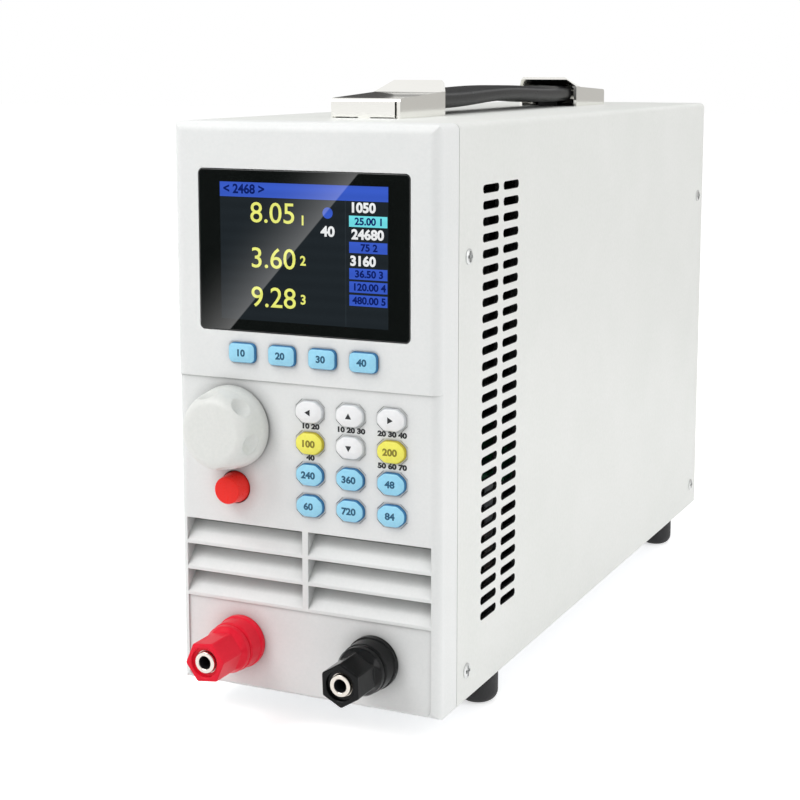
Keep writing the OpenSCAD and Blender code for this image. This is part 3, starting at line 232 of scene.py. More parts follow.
# Darker copies of the key colours, used on the key sides: painted shade
shaded_side_blue = silicone("painted_shade_blue", ("#3f83b4", "#3676a8"), SIDE_GLOSS)
shaded_side_yellow = silicone("painted_shade_yellow", ("#cfc03a", "#c4b432"), SIDE_GLOSS)
shaded_side_white = silicone("shaded_white", ("#dcdee0", "#d2d5d8"), SIDE_GLOSS)


def ink(colour, tones):
    """Screen-printed ink: flat, dark and a little uneven."""
    return surface("ink_printed_" + colour, tones, 0.5, 0.002, (0.5, 0.65))


ink_black = ink("black", ("#121417", "#1b1d20"))
ink_navy = ink("navy", ("#14506f", "#1b5a7c"))
ink_olive = ink("olive", ("#80741a", "#8c8024"))

# Moulded ABS knob: pale warm grey, satin, finger-polished, with painted shade in its hollows such as the
# finger dents
knob_abs = surface("abs_moulded_pale_grey", ("#eaebe7", "#e3e5e1"), 1.0, 0.008, (0.36, 0.46), hollow=5,
                   IOR=1.53)
# Moulded polycarbonate: saturated red with a small soft highlight
button_red = surface("polycarbonate_moulded_red", ("#ff332b", "#f82b24"), 0.8, 0.006, (0.26, 0.34), IOR=1.58,
                     **{SPECULAR: 0.15})
# Moulded nylon: waxy gloss, deep colour
NYLON_FINISH = {"IOR": 1.53, SPECULAR: 0.14}
post_red = surface("nylon_moulded_red", ("#f52039", "#ee1c34"), 0.9, 0.0005, (0.28, 0.31), **NYLON_FINISH)
post_black = surface("nylon_moulded_black", ("#070809", "#0b0c0d"), 0.9, 0.0005, (0.18, 0.22), **NYLON_FINISH)
# Bright nickel plate on pressed steel: warm mirror, clouded by fine drawing lines
cap_nickel = surface("nickel_plated_pressed_sheet", ("#f1f0eb", "#eeede8"), 0.35, 0.0005, (0.08, 0.1),
                     stretch=(0.08, 1, 1), Metallic=1.0)
# Nickel plate on turned brass and wire: warm grey and bright, with fine turning marks
nickel = surface("nickel_plated_turned", ("#d4cec6", "#c6c0b8"), 0.35, 0.002, (0.12, 0.2),
                 stretch=(1, 0.1, 1), Metallic=1.0)
# Soft vinyl over a spring core: charcoal, fine leather grain, satin, with painted shade in its hollows,
# darkest on the underside over the case
vinyl = surface("vinyl_grained_charcoal", ("#0d0e10", "#141517"), 0.9, 0.015, (0.27, 0.36), hollow=12,
                IOR=1.52, **{SPECULAR: 0.26})
# Moulded rubber: matt black, dusty
foot_rubber = surface("rubber_moulded_black", ("#101012", "#18181a"), 0.8, 0.03, (0.55, 0.7), IOR=1.5)
# Float glass printed black from behind: deep black under a mirror-smooth face
window_glass = surface("glass_back_printed_black", ("#121514", "#141716"), 3.0, 0.0, (0.0, 0.01), IOR=1.52)
# Zinc-plated sheet: cool grey, cloudy spangle
zinc = surface("zinc_plated_steel", ("#b4b8bc", "#9da2a7"), 2.5, 0.004, (0.3, 0.45), Metallic=1.0)
# Zinc-plated screws: light grey with bright edges
screw_steel = surface("zinc_plated_screw_steel", ("#d6d7d6", "#c4c6c6"), 0.6, 0.004, (0.3, 0.42),
                      Metallic=1.0)
# Pressed frames behind the front: dark, blackened steel
lcd_frame = surface("steel_pressed_dark", ("#2f3338", "#383c42"), 1.2, 0.006, (0.4, 0.5), IOR=1.5)
# Silicone sheet: plain grey, matt
mat_grey = surface("silicone_sheet_grey", ("#8d9398", "#83898e"), 1.0, 0.01, (0.5, 0.6), **RUBBER_FINISH)
# Solder mask over glass epoxy: green, mottled like a weave under the lacquer
board_green = surface("glass_epoxy_solder_mask", ("#17603f", "#1d6f48"), 1.6, 0.01, (0.3, 0.4), IOR=1.55)
# Moulded nylon switch: matt black
switch_black = surface("nylon_moulded_switch_black", ("#222427", "#2b2d30"), 0.9, 0.01, (0.4, 0.5), IOR=1.53)
# Rolled copper: warm, drawn along its length
copper = surface("copper_rolled_bar", ("#c07b52", "#b06c46"), 0.5, 0.004, (0.25, 0.38), stretch=(1, 0.06, 1),
                 Metallic=1.0)
# Extruded aluminium, black anodised: dull black with lines along the extrusion
sink_metal = surface("aluminium_extruded_black_anodised", ("#16171a", "#1d1e21"), 0.5, 0.006, (0.4, 0.52),
                     stretch=(1, 0.05, 1), IOR=1.6)
# Moulded epoxy: dull black
fet_black = surface("epoxy_moulded_black", ("#1b1c1f", "#242628"), 0.6, 0.01, (0.45, 0.6), IOR=1.55)
# Stacked steel sheets under varnish: grey layers
core_steel = surface("silicon_steel_laminated", ("#70757b", "#5d6268"), 0.5, 0.03, (0.4, 0.55),
                     stretch=(1, 1, 0.02), Metallic=0.9)
# Moulded polyester fan: black, satin
fan_black = surface("pbt_moulded_black", ("#1f2123", "#292b2e"), 0.9, 0.01, (0.38, 0.5), edge=0.2, IOR=1.57)
# Moulded polyamide inlet: black, slightly grained
inlet_black = surface("polyamide_moulded_black", ("#191a1c", "#232426"), 0.9, 0.012, (0.4, 0.52), edge=0.2,
                      IOR=1.53)
# Tin-plated shell: soft silver
port_metal = surface("tin_plated_shell", ("#c3c5c7", "#b2b5b8"), 0.7, 0.005, (0.25, 0.36), edge=0.2,
                     Metallic=1.0)

# Picture on the display: lit areas behind the same smooth glass
lcd_ground = glowing("lcd_lit_ground", "#20262a")
lcd_line = glowing("lcd_lit_line", "#2c3338")
lcd_blue = glowing("lcd_lit_blue", "#3a5cc8")
lcd_cyan = glowing("lcd_lit_cyan", "#74e2ea")
lcd_yellow = glowing("lcd_lit_yellow", "#eef07a")
lcd_white = glowing("lcd_lit_white", "#f2f4f5")
lcd_navy = glowing("lcd_lit_navy", "#0c1f66")

SLOT_FINISH = {
    "bezel_plastic": bezel_abs, "window_glass": window_glass, "lcd_dark": lcd_frame,
    "silicone_grey": mat_grey, "board_green": board_green, "zinc_steel": zinc, "screw_steel": screw_steel,
    "knob_grey": knob_abs, "switch_black": switch_black, "button_red": button_red, "key_blue": key_blue,
    "key_yellow": key_yellow, "key_white": key_white, "cover_paint": cover_paint, "foot_rubber": foot_rubber,
    "post_red": post_red, "post_black": post_black, "nickel": nickel, "copper": copper, "strap_black": vinyl,
    "sink_aluminium": sink_metal, "fet_black": fet_black, "transformer_core": core_steel,
    "fan_black": fan_black, "inlet_black": inlet_black, "port_shell": port_metal,
}
NODE_FINISH = {"front_frame": lcd_frame}   # pieces whose finish is not their slot's
NODE_SLOT = {part["node"]: part["material_slot"] for part in frame["record"]["subparts"]}
for node, cad in frame["nodes"].items():
    cad.data.materials.clear()
    cad.data.materials.append(NODE_FINISH.get(node, SLOT_FINISH[NODE_SLOT[node]]))


def middle(node):
    """Centre of a CAD node's box."""
    lo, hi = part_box(node)
    return (lo + hi) / 2


def turns(count, start=0.0):
    """Angles of a full turn in even steps."""
    return [start + 2 * math.pi * k / count for k in range(count)]


def quarter(steps, first=1):
    """Angles of a quarter turn in even steps, from step number first to its end."""
    return [math.pi / 2 * k / steps for k in range(first, steps + 1)]


def inset(points, d):
    """Convex outline with every side moved inwards by d."""
    moved = []
    for i, p in enumerate(points):
        before, after = points[i - 1], points[(i + 1) % len(points)]
        a, b = (p - before).normalized(), (after - p).normalized()
        na, nb = Vector((-a.y, a.x)), Vector((-b.y, b.x))
        moved.append(p + (na + nb) * (d / (1 + na.dot(nb))))
    return moved


def rounded(points, r, steps=5):
    """Convex outline with its corners turned into arcs of radius r, or less where a side is too short."""
    made = []
    side_share = 0.49
    for i, p in enumerate(points):
        before, after = points[i - 1], points[(i + 1) % len(points)]
        a, b = (before - p).normalized(), (after - p).normalized()
        half = a.angle(b) / 2
        reach = min(r / math.tan(half), side_share * (before - p).length, side_share * (after - p).length)
        centre = p + (a + b).normalized() * (reach / math.cos(half))
        start, end = p + a * reach - centre, p + b * reach - centre
        turn = start.angle_signed(end)
        for k in range(steps + 1):
            s = -turn * k / steps
            made.append(centre + Vector((start.x * math.cos(s) - start.y * math.sin(s),
                                         start.x * math.sin(s) + start.y * math.cos(s))))
    return made


def rectangle(w, h):
    return [Vector((x * w / 2, z * h / 2)) for x, z in ((-1, -1), (1, -1), (1, 1), (-1, 1))]


def cut_rectangle(w, h, cut_x, cut_z):
    """Rectangle with its corners cut off."""
    x, z = w / 2, h / 2
    return [Vector(p) for p in ((cut_x - x, -z), (x - cut_x, -z), (x, cut_z - z), (x, z - cut_z),
                                (x - cut_x, z), (cut_x - x, z), (-x, z - cut_z), (-x, cut_z - z))]


def circle(r, steps=24):
    return [Vector((r * math.cos(a), r * math.sin(a))) for a in turns(steps)]


def hexagon(flat, r, turn):
    """Six-sided outline by the distance of its flats from the middle, with corners of radius r;
    a radius as large as that distance makes it all but round."""
    sides, steps, all_but = 6, 12, 0.999
    corner = flat / math.cos(math.pi / sides)
    points = [Vector((math.cos(a), math.sin(a))) * corner for a in turns(sides, turn)]
    return rounded(points, min(r, all_but * flat), steps)


def skin(bm, rings, index=0, ends="closed"):
    """Walls between rings of points; the ends are closed, or joined to make a ring-shaped solid.
    index is a material number, or one for every pair of rings."""
    rows = [[bm.verts.new(p) for p in ring] for ring in rings]
    count = len(rows[0])
    pairs = list(zip(rows, rows[1:] + (rows[:1] if ends == "joined" else [])))
    for n, (low, high) in enumerate(pairs):
        for i in range(count):
            face = bm.faces.new((low[i], low[(i + 1) % count], high[(i + 1) % count], high[i]))
            face.material_index = index[n] if isinstance(index, list) else index
    if ends == "closed":
        for row, number in ((rows[0][::-1], 0), (rows[-1], -1)):
            bm.faces.new(row).material_index = index[number] if isinstance(index, list) else index


def at_depth(outline, centre, y):
    """Ring of an outline in the front plane at depth y."""
    return [Vector((centre.x + p.x, y, centre.z + p.y)) for p in outline]


def lathe(bm, profile, centre, steps=72, index=0, radius=None, ends="closed"):
    """Solid of revolution about a line along Y; profile holds (radius, y) from one end to the other.
    radius changes a point's radius by its angle and y."""
    rings = []
    for r, y in profile:
        around = [(a, radius(r, y, a) if radius else r) for a in turns(steps)]
        rings.append([Vector((centre.x + use * math.cos(a), y, centre.z + use * math.sin(a)))
                      for a, use in around])
    skin(bm, rings, index, ends)


def baked(made):
    """Plain mesh that an object's modifiers, or its letters, make."""
    bpy.context.view_layer.update()
    return bpy.data.meshes.new_from_object(made.evaluated_get(bpy.context.evaluated_depsgraph_get()))


def words(bm, text, size, centre, y, index, lift=HAIR, bold=0.0, wide=1.0):
    """Printed figures facing the front, centred on a point, standing lift proud of the plane at y."""
    curve = bpy.data.curves.new("figures", "FONT")
    curve.body, curve.size, curve.extrude, curve.offset = text, size, lift, bold
    curve.align_x = curve.align_y = "CENTER"
    curve.resolution_u = LETTER_STEPS
    made = bpy.data.objects.new("figures", curve)
    bpy.context.scene.collection.objects.link(made)
    mesh = baked(made)
    mesh.transform(Matrix.Translation((centre.x, y, centre.z)) @ Matrix.Rotation(math.pi / 2, 4, "X")
                   @ Matrix.Diagonal((wide, 1, 1, 1)))
    start = len(bm.faces)
    bm.from_mesh(mesh)
    bm.faces.ensure_lookup_table()
    for face in bm.faces[start:]:
        face.material_index = index
    bpy.data.objects.remove(made)


def mark(bm, outline, centre, y, index, lift=HAIR):
    """Printed shape facing the front, lift proud of the plane at y."""
    skin(bm, [at_depth(outline, centre, y + lift), at_depth(outline, centre, y - lift)], index)


def merged(bm):
    """Closes seams and turns all faces outwards."""
    bmesh.ops.remove_doubles(bm, verts=bm.verts, dist=MERGE)
    bmesh.ops.recalc_face_normals(bm, faces=bm.faces)


def shape(name, bm, finishes):
    """Object from a mesh under way, smooth but for its crisp edges, with flat faces that stay flat."""
    merged(bm)
    for edge in bm.edges:
        edge.smooth = len(edge.link_faces) == 2 and edge.calc_face_angle(0) < SHARP
    for face in bm.faces:
        face.smooth = True
    mesh = bpy.data.meshes.new(name)
    bm.to_mesh(mesh)
    bm.free()
    for finish in finishes:
        mesh.materials.append(finish)
    made = bpy.data.objects.new(name, mesh)
    bpy.context.scene.collection.objects.link(made)
    made.modifiers.new("flat", "WEIGHTED_NORMAL").keep_sharp = True
    made.data = baked(made)
    made.modifiers.clear()
    made.data.name = name
    return made


def mount(made, body, slot, *nodes):
    """Puts a finished piece on its body and hides the CAD nodes that it stands for; slot is not used."""
    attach(made, body)
    if nodes:
        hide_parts(*nodes)


WINDOW_CORNER, WINDOW_BEVEL, WINDOW_STEPS = 1.5 * MM, 0.3 * MM, 8
LCD_W, LCD_H = 55.6 * MM, 41.2 * MM   # lit area of the display
LCD_X, LCD_Z = 0.24 * MM, -0.1 * MM   # its place, from the window's middle


def display_glass():
    lo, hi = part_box("display_window")
    centre = (lo + hi) / 2
    outline = rectangle(hi.x - lo.x, hi.z - lo.z)
    rings = [at_depth(rounded(outline, WINDOW_CORNER, WINDOW_STEPS), centre, hi.y)]
    for a in quarter(3, 0):
        d, y = WINDOW_BEVEL * (1 - math.cos(a)), lo.y + WINDOW_BEVEL * (1 - math.sin(a))
        rings.append(at_depth(rounded(inset(outline, d), WINDOW_CORNER - d, WINDOW_STEPS), centre, y))
    bm = bmesh.new()
    skin(bm, rings)
    mount(shape("display_glass", bm, [window_glass]), "case", "window_glass", "display_window")


def display_picture():
    """Lit picture: a header, three readings, and a column of figures beside a dividing line. Places are
    shares of the picture across and down, and sizes are in mm."""
    centre, face = middle("display_window"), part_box("display_window")[0].y
    bm = bmesh.new()
    ground, line, blue, cyan, yellow, white, navy = range(7)

    def spot(u, v):
        """Point of the picture, from 0 to 1 across and down."""
        x, z = centre.x + LCD_X + (u - 0.5) * LCD_W, centre.z + LCD_Z + (0.5 - v) * LCD_H
        return Vector((x, face, z))

    def panel(u0, v0, u1, v1, index, level):
        a, b = spot(u0, v0), spot(u1, v1)
        mark(bm, rectangle(b.x - a.x, a.z - b.z), (a + b) / 2, face, index, HAIR * level)

    def figures(text, size, u, v, index, bold, wide=1.0, level=2):
        words(bm, text, size * MM, spot(u, v), face, index, level * HAIR, bold * MM, wide)

    panel(0, 0, 1, 1, ground, 1)
    panel(0.752, 0.1, 0.756, 1, line, 2)
    panel(0, 0, 1, 0.106, blue, 2)
    figures("< 2468 >", 3.8, 0.148, 0.052, navy, 0.12, level=3)
    readings = (("8.05", 0.222, "1", 0.262), ("3.60", 0.549, "2", 0.55), ("9.28", 0.833, "3", 0.83))
    for text, v, label, low in readings:
        figures(text, 8.6, 0.322, v, yellow, 0.03, 1.05)
        figures(label, 3.9, 0.502, low, yellow, 0.1)
    mark(bm, circle(1.65 * MM), spot(0.65, 0.198), face, blue, 2 * HAIR)
    figures("40", 4.1, 0.65, 0.332, white, 0.14, 1.1)
    for text, u, v in (("1050", 0.854, 0.155), ("24680", 0.882, 0.343), ("3160", 0.854, 0.53)):
        figures(text, 3.9, u, v, white, 0.16, 1.06)
    rows = (("25.00 1", cyan, 0.248), ("75 2", blue, 0.432), ("36.50 3", blue, 0.618),
            ("120.00 4", blue, 0.711), ("480.00 5", blue, 0.806))
    row_half = 0.039
    for text, tone, v in rows:
        panel(0.775, v - row_half, 0.995, v + row_half, tone, 2)
        figures(text, 2.9, 0.89, v + 0.002, navy, 0.1, 1.06, level=3)
    finishes = [lcd_ground, lcd_line, lcd_blue, lcd_cyan, lcd_yellow, lcd_white, lcd_navy]
    mount(shape("display_picture", bm, finishes), "case", "lcd_dark")


KEY_OUT = 1.8 * MM                           # how far a key stands out of the bezel
KEY_EAR, KEY_EAR_T = 0.8 * MM, 1.2 * MM      # ears that hold a key behind the bezel
EAR_SHORT = 3.8 * MM                         # how much lower than the key its ears are
PILL_R, PILL_L, PILL_EDGE = 1.6 * MM, 0.9 * MM, 0.2 * MM
LIP_T, LIP_NEAR, LIP_FAR = 0.12 * MM, 0.06 * MM, 0.36 * MM   # the lip, and its edges around the key
LEDGE_GAP = 0.03 * MM                        # between the lip and the ledge of a key behind it
ARROW = 1.0 * MM
KEY_CUT, KEY_R = (2.4 * MM, 1.9 * MM), 2.2 * MM
SKIRT_CUT, SKIRT_R = (2.1 * MM, 2.0 * MM), 0.2 * MM
SOFT_KEY_R, SOFT_SKIRT_R = 1.6 * MM, 1.5 * MM
LEGEND = {"size": 2.8 * MM, "bold": 0.12 * MM, "wide": 1.1}
CAPTION = {"size": 2.1 * MM, "bold": 0.13 * MM, "wide": 1.25}
CAPTION_DROP = 1.15 * MM                     # from a key's lower edge to the middle of its caption


def arrow(size, turn):
    """Triangle that points right, turned by quarter turns."""
    back = -0.75 * size
    points = [Vector((size, 0)), Vector((back, size)), Vector((back, -size))]
    return [Matrix.Rotation(turn * math.pi / 2, 2) @ p for p in points]


def key_outlines(node, corners):
    """Outlines of a key's cap and of its skirt behind the face, each with its corner radius."""
    lo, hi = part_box(node)
    w, h = hi.x - lo.x - 2 * KEY_EAR, hi.z - lo.z
    if corners == "cut":
        return cut_rectangle(w, h, *KEY_CUT), KEY_R, cut_rectangle(w, h, *SKIRT_CUT), SKIRT_R
    return rectangle(w, h), SOFT_KEY_R, rectangle(w, h), SOFT_SKIRT_R


def key_lip(bm, node, corners):
    """Thin lip of the bezel that closes the gap around a key."""
    outline, r, guide, guide_r = key_outlines(node, corners)
    face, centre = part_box(node)[0].y + KEY_OUT, middle(node)
    inner = rounded(inset(outline, -LIP_NEAR), r + LIP_NEAR)
    outer = rounded(inset(guide, -LIP_FAR), guide_r + LIP_FAR)
    section = ((inner, LIP_T), (outer, LIP_T), (outer, HAIR), (inner, HAIR))
    skin(bm, [at_depth(line, centre, face + y) for line, y in section], ends="joined")


def key(node, finishes, slot, legend, corners):
    """Moulded key: skirt with ears and contact pill, sides in a darker tone that is painted shade, and a
    gently domed face.
    """
    lo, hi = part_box(node)
    centre = (lo + hi) / 2
    outline, r, guide, guide_r = key_outlines(node, corners)
    back, ledge = hi.y - PILL_L, lo.y + KEY_OUT + LIP_T + LEDGE_GAP
    lean, roll, dome, dome_run, shrink = 0.05 * MM, 0.8 * MM, 0.4 * MM, 1.6 * MM, 0.6

    def ring(d, y):
        return at_depth(rounded(inset(outline, d), r - shrink * d), centre, y)

    rings = [at_depth(rounded(guide, guide_r), centre, y) for y in (back, ledge)]
    rings.append(at_depth(rounded(outline, r), centre, ledge))
    rings += [ring(lean + roll * (1 - math.cos(a)), lo.y + dome + roll * (1 - math.sin(a)))
              for a in quarter(7, 0)]
    rings += [ring(lean + roll + share * dome_run, lo.y + dome * (1 - share) ** 2)
              for share in (0.3, 0.65, 1.0)]
    bm = bmesh.new()
    # The side finish, on the sides and the parts behind them, is painted shade: a darker copy of the face
    # colour
    top, side, print_ink, side_rings = 0, 1, 2, 6
    skin(bm, rings, [side if n < side_rings else top for n in range(len(rings) - 1)])
    ears = rectangle(hi.x - lo.x, hi.z - lo.z - EAR_SHORT)
    skin(bm, [at_depth(ears, centre, back), at_depth(ears, centre, back - KEY_EAR_T)], side)
    pill = [(PILL_R, back), (PILL_R, hi.y - PILL_EDGE), (PILL_R - PILL_EDGE, hi.y)]
    lathe(bm, pill, centre, 24, side)
    if isinstance(legend, str):
        words(bm, legend, centre=centre, y=lo.y, index=print_ink, **LEGEND)
    else:
        mark(bm, legend, centre, lo.y, print_ink)
    mount(shape(node + "_cap", bm, finishes), node, slot, node)


def keypad():
    white, yellow = (key_white, shaded_side_white, ink_black), (key_yellow, shaded_side_yellow, ink_olive)
    blue = (key_blue, shaded_side_blue, ink_navy)
    for node, turn in (("right_key", 0), ("up_key", 1), ("left_key", 2), ("down_key", 3)):
        key(node, white, "key_white", arrow(ARROW, turn), "cut")
    for node, legend in (("escape_key", "100"), ("enter_key", "200")):
        key(node, yellow, "key_yellow", legend, "cut")
    names = ("mode_key", "menu_key", "set_key", "channel_key", "trigger_key", "output_key")
    for node, legend in zip(names, ("240", "360", "48", "60", "720", "84")):
        key(node, blue, "key_blue", legend, "cut")
    for i in range(1, 5):
        key(f"soft_key_{i}", blue, "key_blue", str(10 * i), "round")


def key_lips():
    bm = bmesh.new()
    for node in frame["nodes"]:
        if node.endswith("_key") or node.startswith("soft_key"):
            key_lip(bm, node, "cut" if node.endswith("_key") else "round")
    mount(shape("key_lips", bm, [bezel_abs]), "case", "bezel_plastic")


def captions():
    """Small printed numbers under the upper keys of the block."""
    bm = bmesh.new()
    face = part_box("left_key")[0].y + KEY_OUT
    texts = {"left_key": "10 20", "up_key": "10 20 30", "right_key": "20 30 40", "escape_key": "40",
             "enter_key": "50 60 70"}
    for node, text in texts.items():
        place = Vector((middle(node).x, 0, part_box(node)[0].z - CAPTION_DROP))
        words(bm, text, centre=place, y=face, index=0, **CAPTION)
    mount(shape("printed_captions", bm, [ink_black]), "case", "bezel_plastic")


def knob():
    """Round knob: a slightly tapered side, a full shoulder with finger dents and a crowned face."""
    lo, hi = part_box("control_knob")
    centre = (lo + hi) / 2
    r, length = (hi.x - lo.x) / 2, hi.y - lo.y
    dents, first, depth = 6, math.radians(45), 1.7 * MM
    dent_wide, dent_long, dent_y, dent_power = math.radians(16), 0.22, 0.66, 0.9
    shoulder_r, shoulder_y = 0.8, 0.95   # powers below 1 make the shoulder fuller than a round one
    foot, edge, taper, tip, belly = 0.36 * length, 0.4 * MM, 0.6 * MM, 0.6 * r, 0.35 * MM

    def dented(radius, y, angle):
        """Scoops a finger dent out of the shoulder."""
        along = ((hi.y - y) / length - dent_y) / dent_long
        around = ((angle - first + math.pi / dents) % (2 * math.pi / dents) - math.pi / dents) / dent_wide
        return radius - depth * max(0.0, 1 - along ** 2 - around ** 2) ** dent_power

    profile = [(0.9 * r, hi.y), (0.97 * r, hi.y), (r, hi.y - edge)]
    profile += [(r - taper * t * t, hi.y - edge - foot * t) for t in [k / 8 for k in range(1, 9)]]
    side_r, side_y = profile[-1]
    rise = side_y - lo.y - belly
    profile += [(tip + (side_r - tip) * math.cos(a) ** shoulder_r, side_y - rise * math.sin(a) ** shoulder_y)
                for a in quarter(40)]
    profile += [(tip * share, lo.y + belly * share ** 2) for share in (0.8, 0.55, 0.3, 0.1)]
    bm = bmesh.new()
    lathe(bm, profile, centre, 216, radius=dented)
    mount(shape("knob_cap", bm, [knob_abs]), "knob", "knob_grey", "control_knob")


def power_button():
    """Push button: a stem, a collar in the bezel's hole and a cap with a rolled edge and a crowned face."""
    lo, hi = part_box("power_button")
    centre = (lo + hi) / 2
    collar, cap, stem = (hi.x - lo.x) / 2, 4.2 * MM, 1.8 * MM
    stands_out, behind = 5.7 * MM, 4.2 * MM   # lengths in front of the bezel's face and behind it
    face = lo.y + stands_out
    back = face + behind
    roll, edge, crown = 0.6 * MM, 0.2 * MM, 0.15 * MM
    profile = [(stem, hi.y), (stem, back), (collar - edge, back), (collar, back - edge),
               (collar, face - 0.3 * MM), (collar - 0.1 * MM, face - 0.6 * MM), (cap, lo.y + roll)]
    profile += [(cap - roll * (1 - math.cos(a)), lo.y + roll - (roll - crown) * math.sin(a))
                for a in quarter(5)]
    profile += [(cap * share, lo.y + crown * share ** 2) for share in (0.6, 0.35, 0.12)]
    bm = bmesh.new()
    lathe(bm, profile, centre)
    mount(shape("button_cap", bm, [button_red]), "power_button", "button_red", "power_button")


def post_base(colour, finish, slot):
    """Round base of a binding post: a collar on the panel and a narrower drum with a rolled edge."""
    lo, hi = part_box(colour + "_terminal_base")
    centre = (lo + hi) / 2
    r, stud = (hi.x - lo.x) / 2, 3.4 * MM
    tip, roll, roll_y = r - 0.5 * MM, 0.6 * MM, 0.7 * MM
    profile = [(stud, hi.y), (r - 0.2 * MM, hi.y), (r, hi.y - 0.2 * MM), (r, hi.y - 1.8 * MM),
               (r - 0.3 * MM, hi.y - 2.1 * MM), (tip + 0.1 * MM, hi.y - 2.4 * MM), (tip, lo.y + roll_y)]
    profile += [(tip - roll * (1 - math.cos(a)), lo.y + roll_y - roll_y * math.sin(a)) for a in quarter(4)]
    profile += [(tip - 1.4 * MM, lo.y), (stud, lo.y)]
    bm = bmesh.new()
    lathe(bm, profile, centre, 96, ends="joined")
    mount(shape(colour + "_post_base", bm, [finish]), "case", slot, colour + "_terminal_base")


def post_cap(colour, finish, slot, turn):
    """Screw cap of a binding post: a round collar that runs into a hexagon, with a rim around the stud.
    Its rings give half the width over the flats, the corner radius and the depth, in mm."""
    lo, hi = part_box(colour + "_terminal_cap")
    centre = (lo + hi) / 2
    collar, flat, bore = (hi.x - lo.x) / 2 / MM, 5.8, 4.65
    disc, crisp = 9, 0.8
    from_back = [(bore, disc, 0), (collar - 0.3, disc, 0), (collar, disc, 0.3), (collar, disc, 1.8),
                 (collar - 0.12, disc, 2.1), (collar - 0.5, 6.2, 2.6), (6.35, 3.2, 3.2), (5.95, 1.6, 3.7),
                 (flat, crisp, 4.1)]
    from_front = [(flat, crisp, 0.5), (flat - 0.08, crisp, 0.22), (flat - 0.22, crisp, 0.06),
                  (flat - 0.42, crisp, 0), (4.7, disc, 0), (4.55, disc, 0.15), (4.5, disc, 1.0),
                  (3.65, disc, 1.0), (3.55, disc, 1.1), (3.55, disc, 1.4), (bore, disc, 1.4)]
    places = [(w, soft, hi.y - d * MM) for w, soft, d in from_back]
    places += [(w, soft, lo.y + d * MM) for w, soft, d in from_front]
    bm = bmesh.new()
    skin(bm, [at_depth(hexagon(w * MM, soft * MM, turn), centre, y) for w, soft, y in places], ends="joined")
    mount(shape(colour + "_post_cap", bm, [finish]), colour + "_cap", slot, colour + "_terminal_cap")


def studs():
    """Turned studs of the posts: a rounded lip around a plug socket whose wall is in painted shade, a black
    finish from just inside the lip.
    """
    lo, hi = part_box("terminal_studs")
    r, ring, hole, deep = 3.35 * MM, 3.0 * MM, 2.0 * MM, 16 * MM
    chamfer, roll, edge = 0.4 * MM, 0.6 * MM, 0.15 * MM
    profile = [(r - chamfer, hi.y), (r, hi.y - chamfer), (r, lo.y + roll)]
    profile += [(ring + (r - ring) * math.cos(a), lo.y + roll * (1 - math.sin(a))) for a in quarter(5)]
    profile += [(hole + edge, lo.y), (hole, lo.y + edge), (hole, lo.y + deep)]
    # The socket's wall takes a black finish as painted shade
    metal, shaded_bore = 0, 1
    bm = bmesh.new()
    for x in (lo.x + r, hi.x - r):
        axis = Vector((x, 0, (lo.z + hi.z) / 2))
        lathe(bm, profile, axis, 64, [metal] * (len(profile) - 2) + [shaded_bore])
    mount(shape("post_studs", bm, [nickel, switch_black]), "case", "nickel", "terminal_studs")


def carved(mesh, boxes):
    """Mesh with boxes cut out of it, each given by its low and its high corner."""
    bm = bmesh.new()
    for a, b in boxes:
        around = ((a[0], a[1]), (b[0], a[1]), (b[0], b[1]), (a[0], b[1]))
        skin(bm, [[Vector((x, y, z)) for x, y in around] for z in (a[2], b[2])])
    tool = shape("tool", bm, [])
    body = bpy.data.objects.new("body", mesh)
    bpy.context.scene.collection.objects.link(body)
    cut = body.modifiers.new("cut", "BOOLEAN")
    cut.object, cut.operation, cut.solver = tool, "DIFFERENCE", "EXACT"
    made = baked(body)
    bpy.data.objects.remove(body)
    bpy.data.objects.remove(tool)
    return made


def rolled(bm, edges, width, segments):
    """Rounds edges of a mesh under way."""
    bmesh.ops.bevel(bm, geom=edges, offset=width, segments=segments, profile=0.5, affect="EDGES",
                    clamp_overlap=True)


FOLD_Z, FOLD_R = 6.2 * MM, 1.3 * MM   # height of the end cap's bend over its foot, and its radius
SHEET = 1.3 * MM                      # how deep a slit goes through the end plate
# The slit beside the side plate and the gaps on both sides of the tab: from x to x and how high, in mm
SLITS = ((10.15, 11.05, 5.2), (-11.4, -2.6, 0.4), (1.7, 10.0, 0.35))
CRISP_TURN, CRISP_LONG, CRISP_ROLL = math.radians(35), 2 * MM, 0.22 * MM


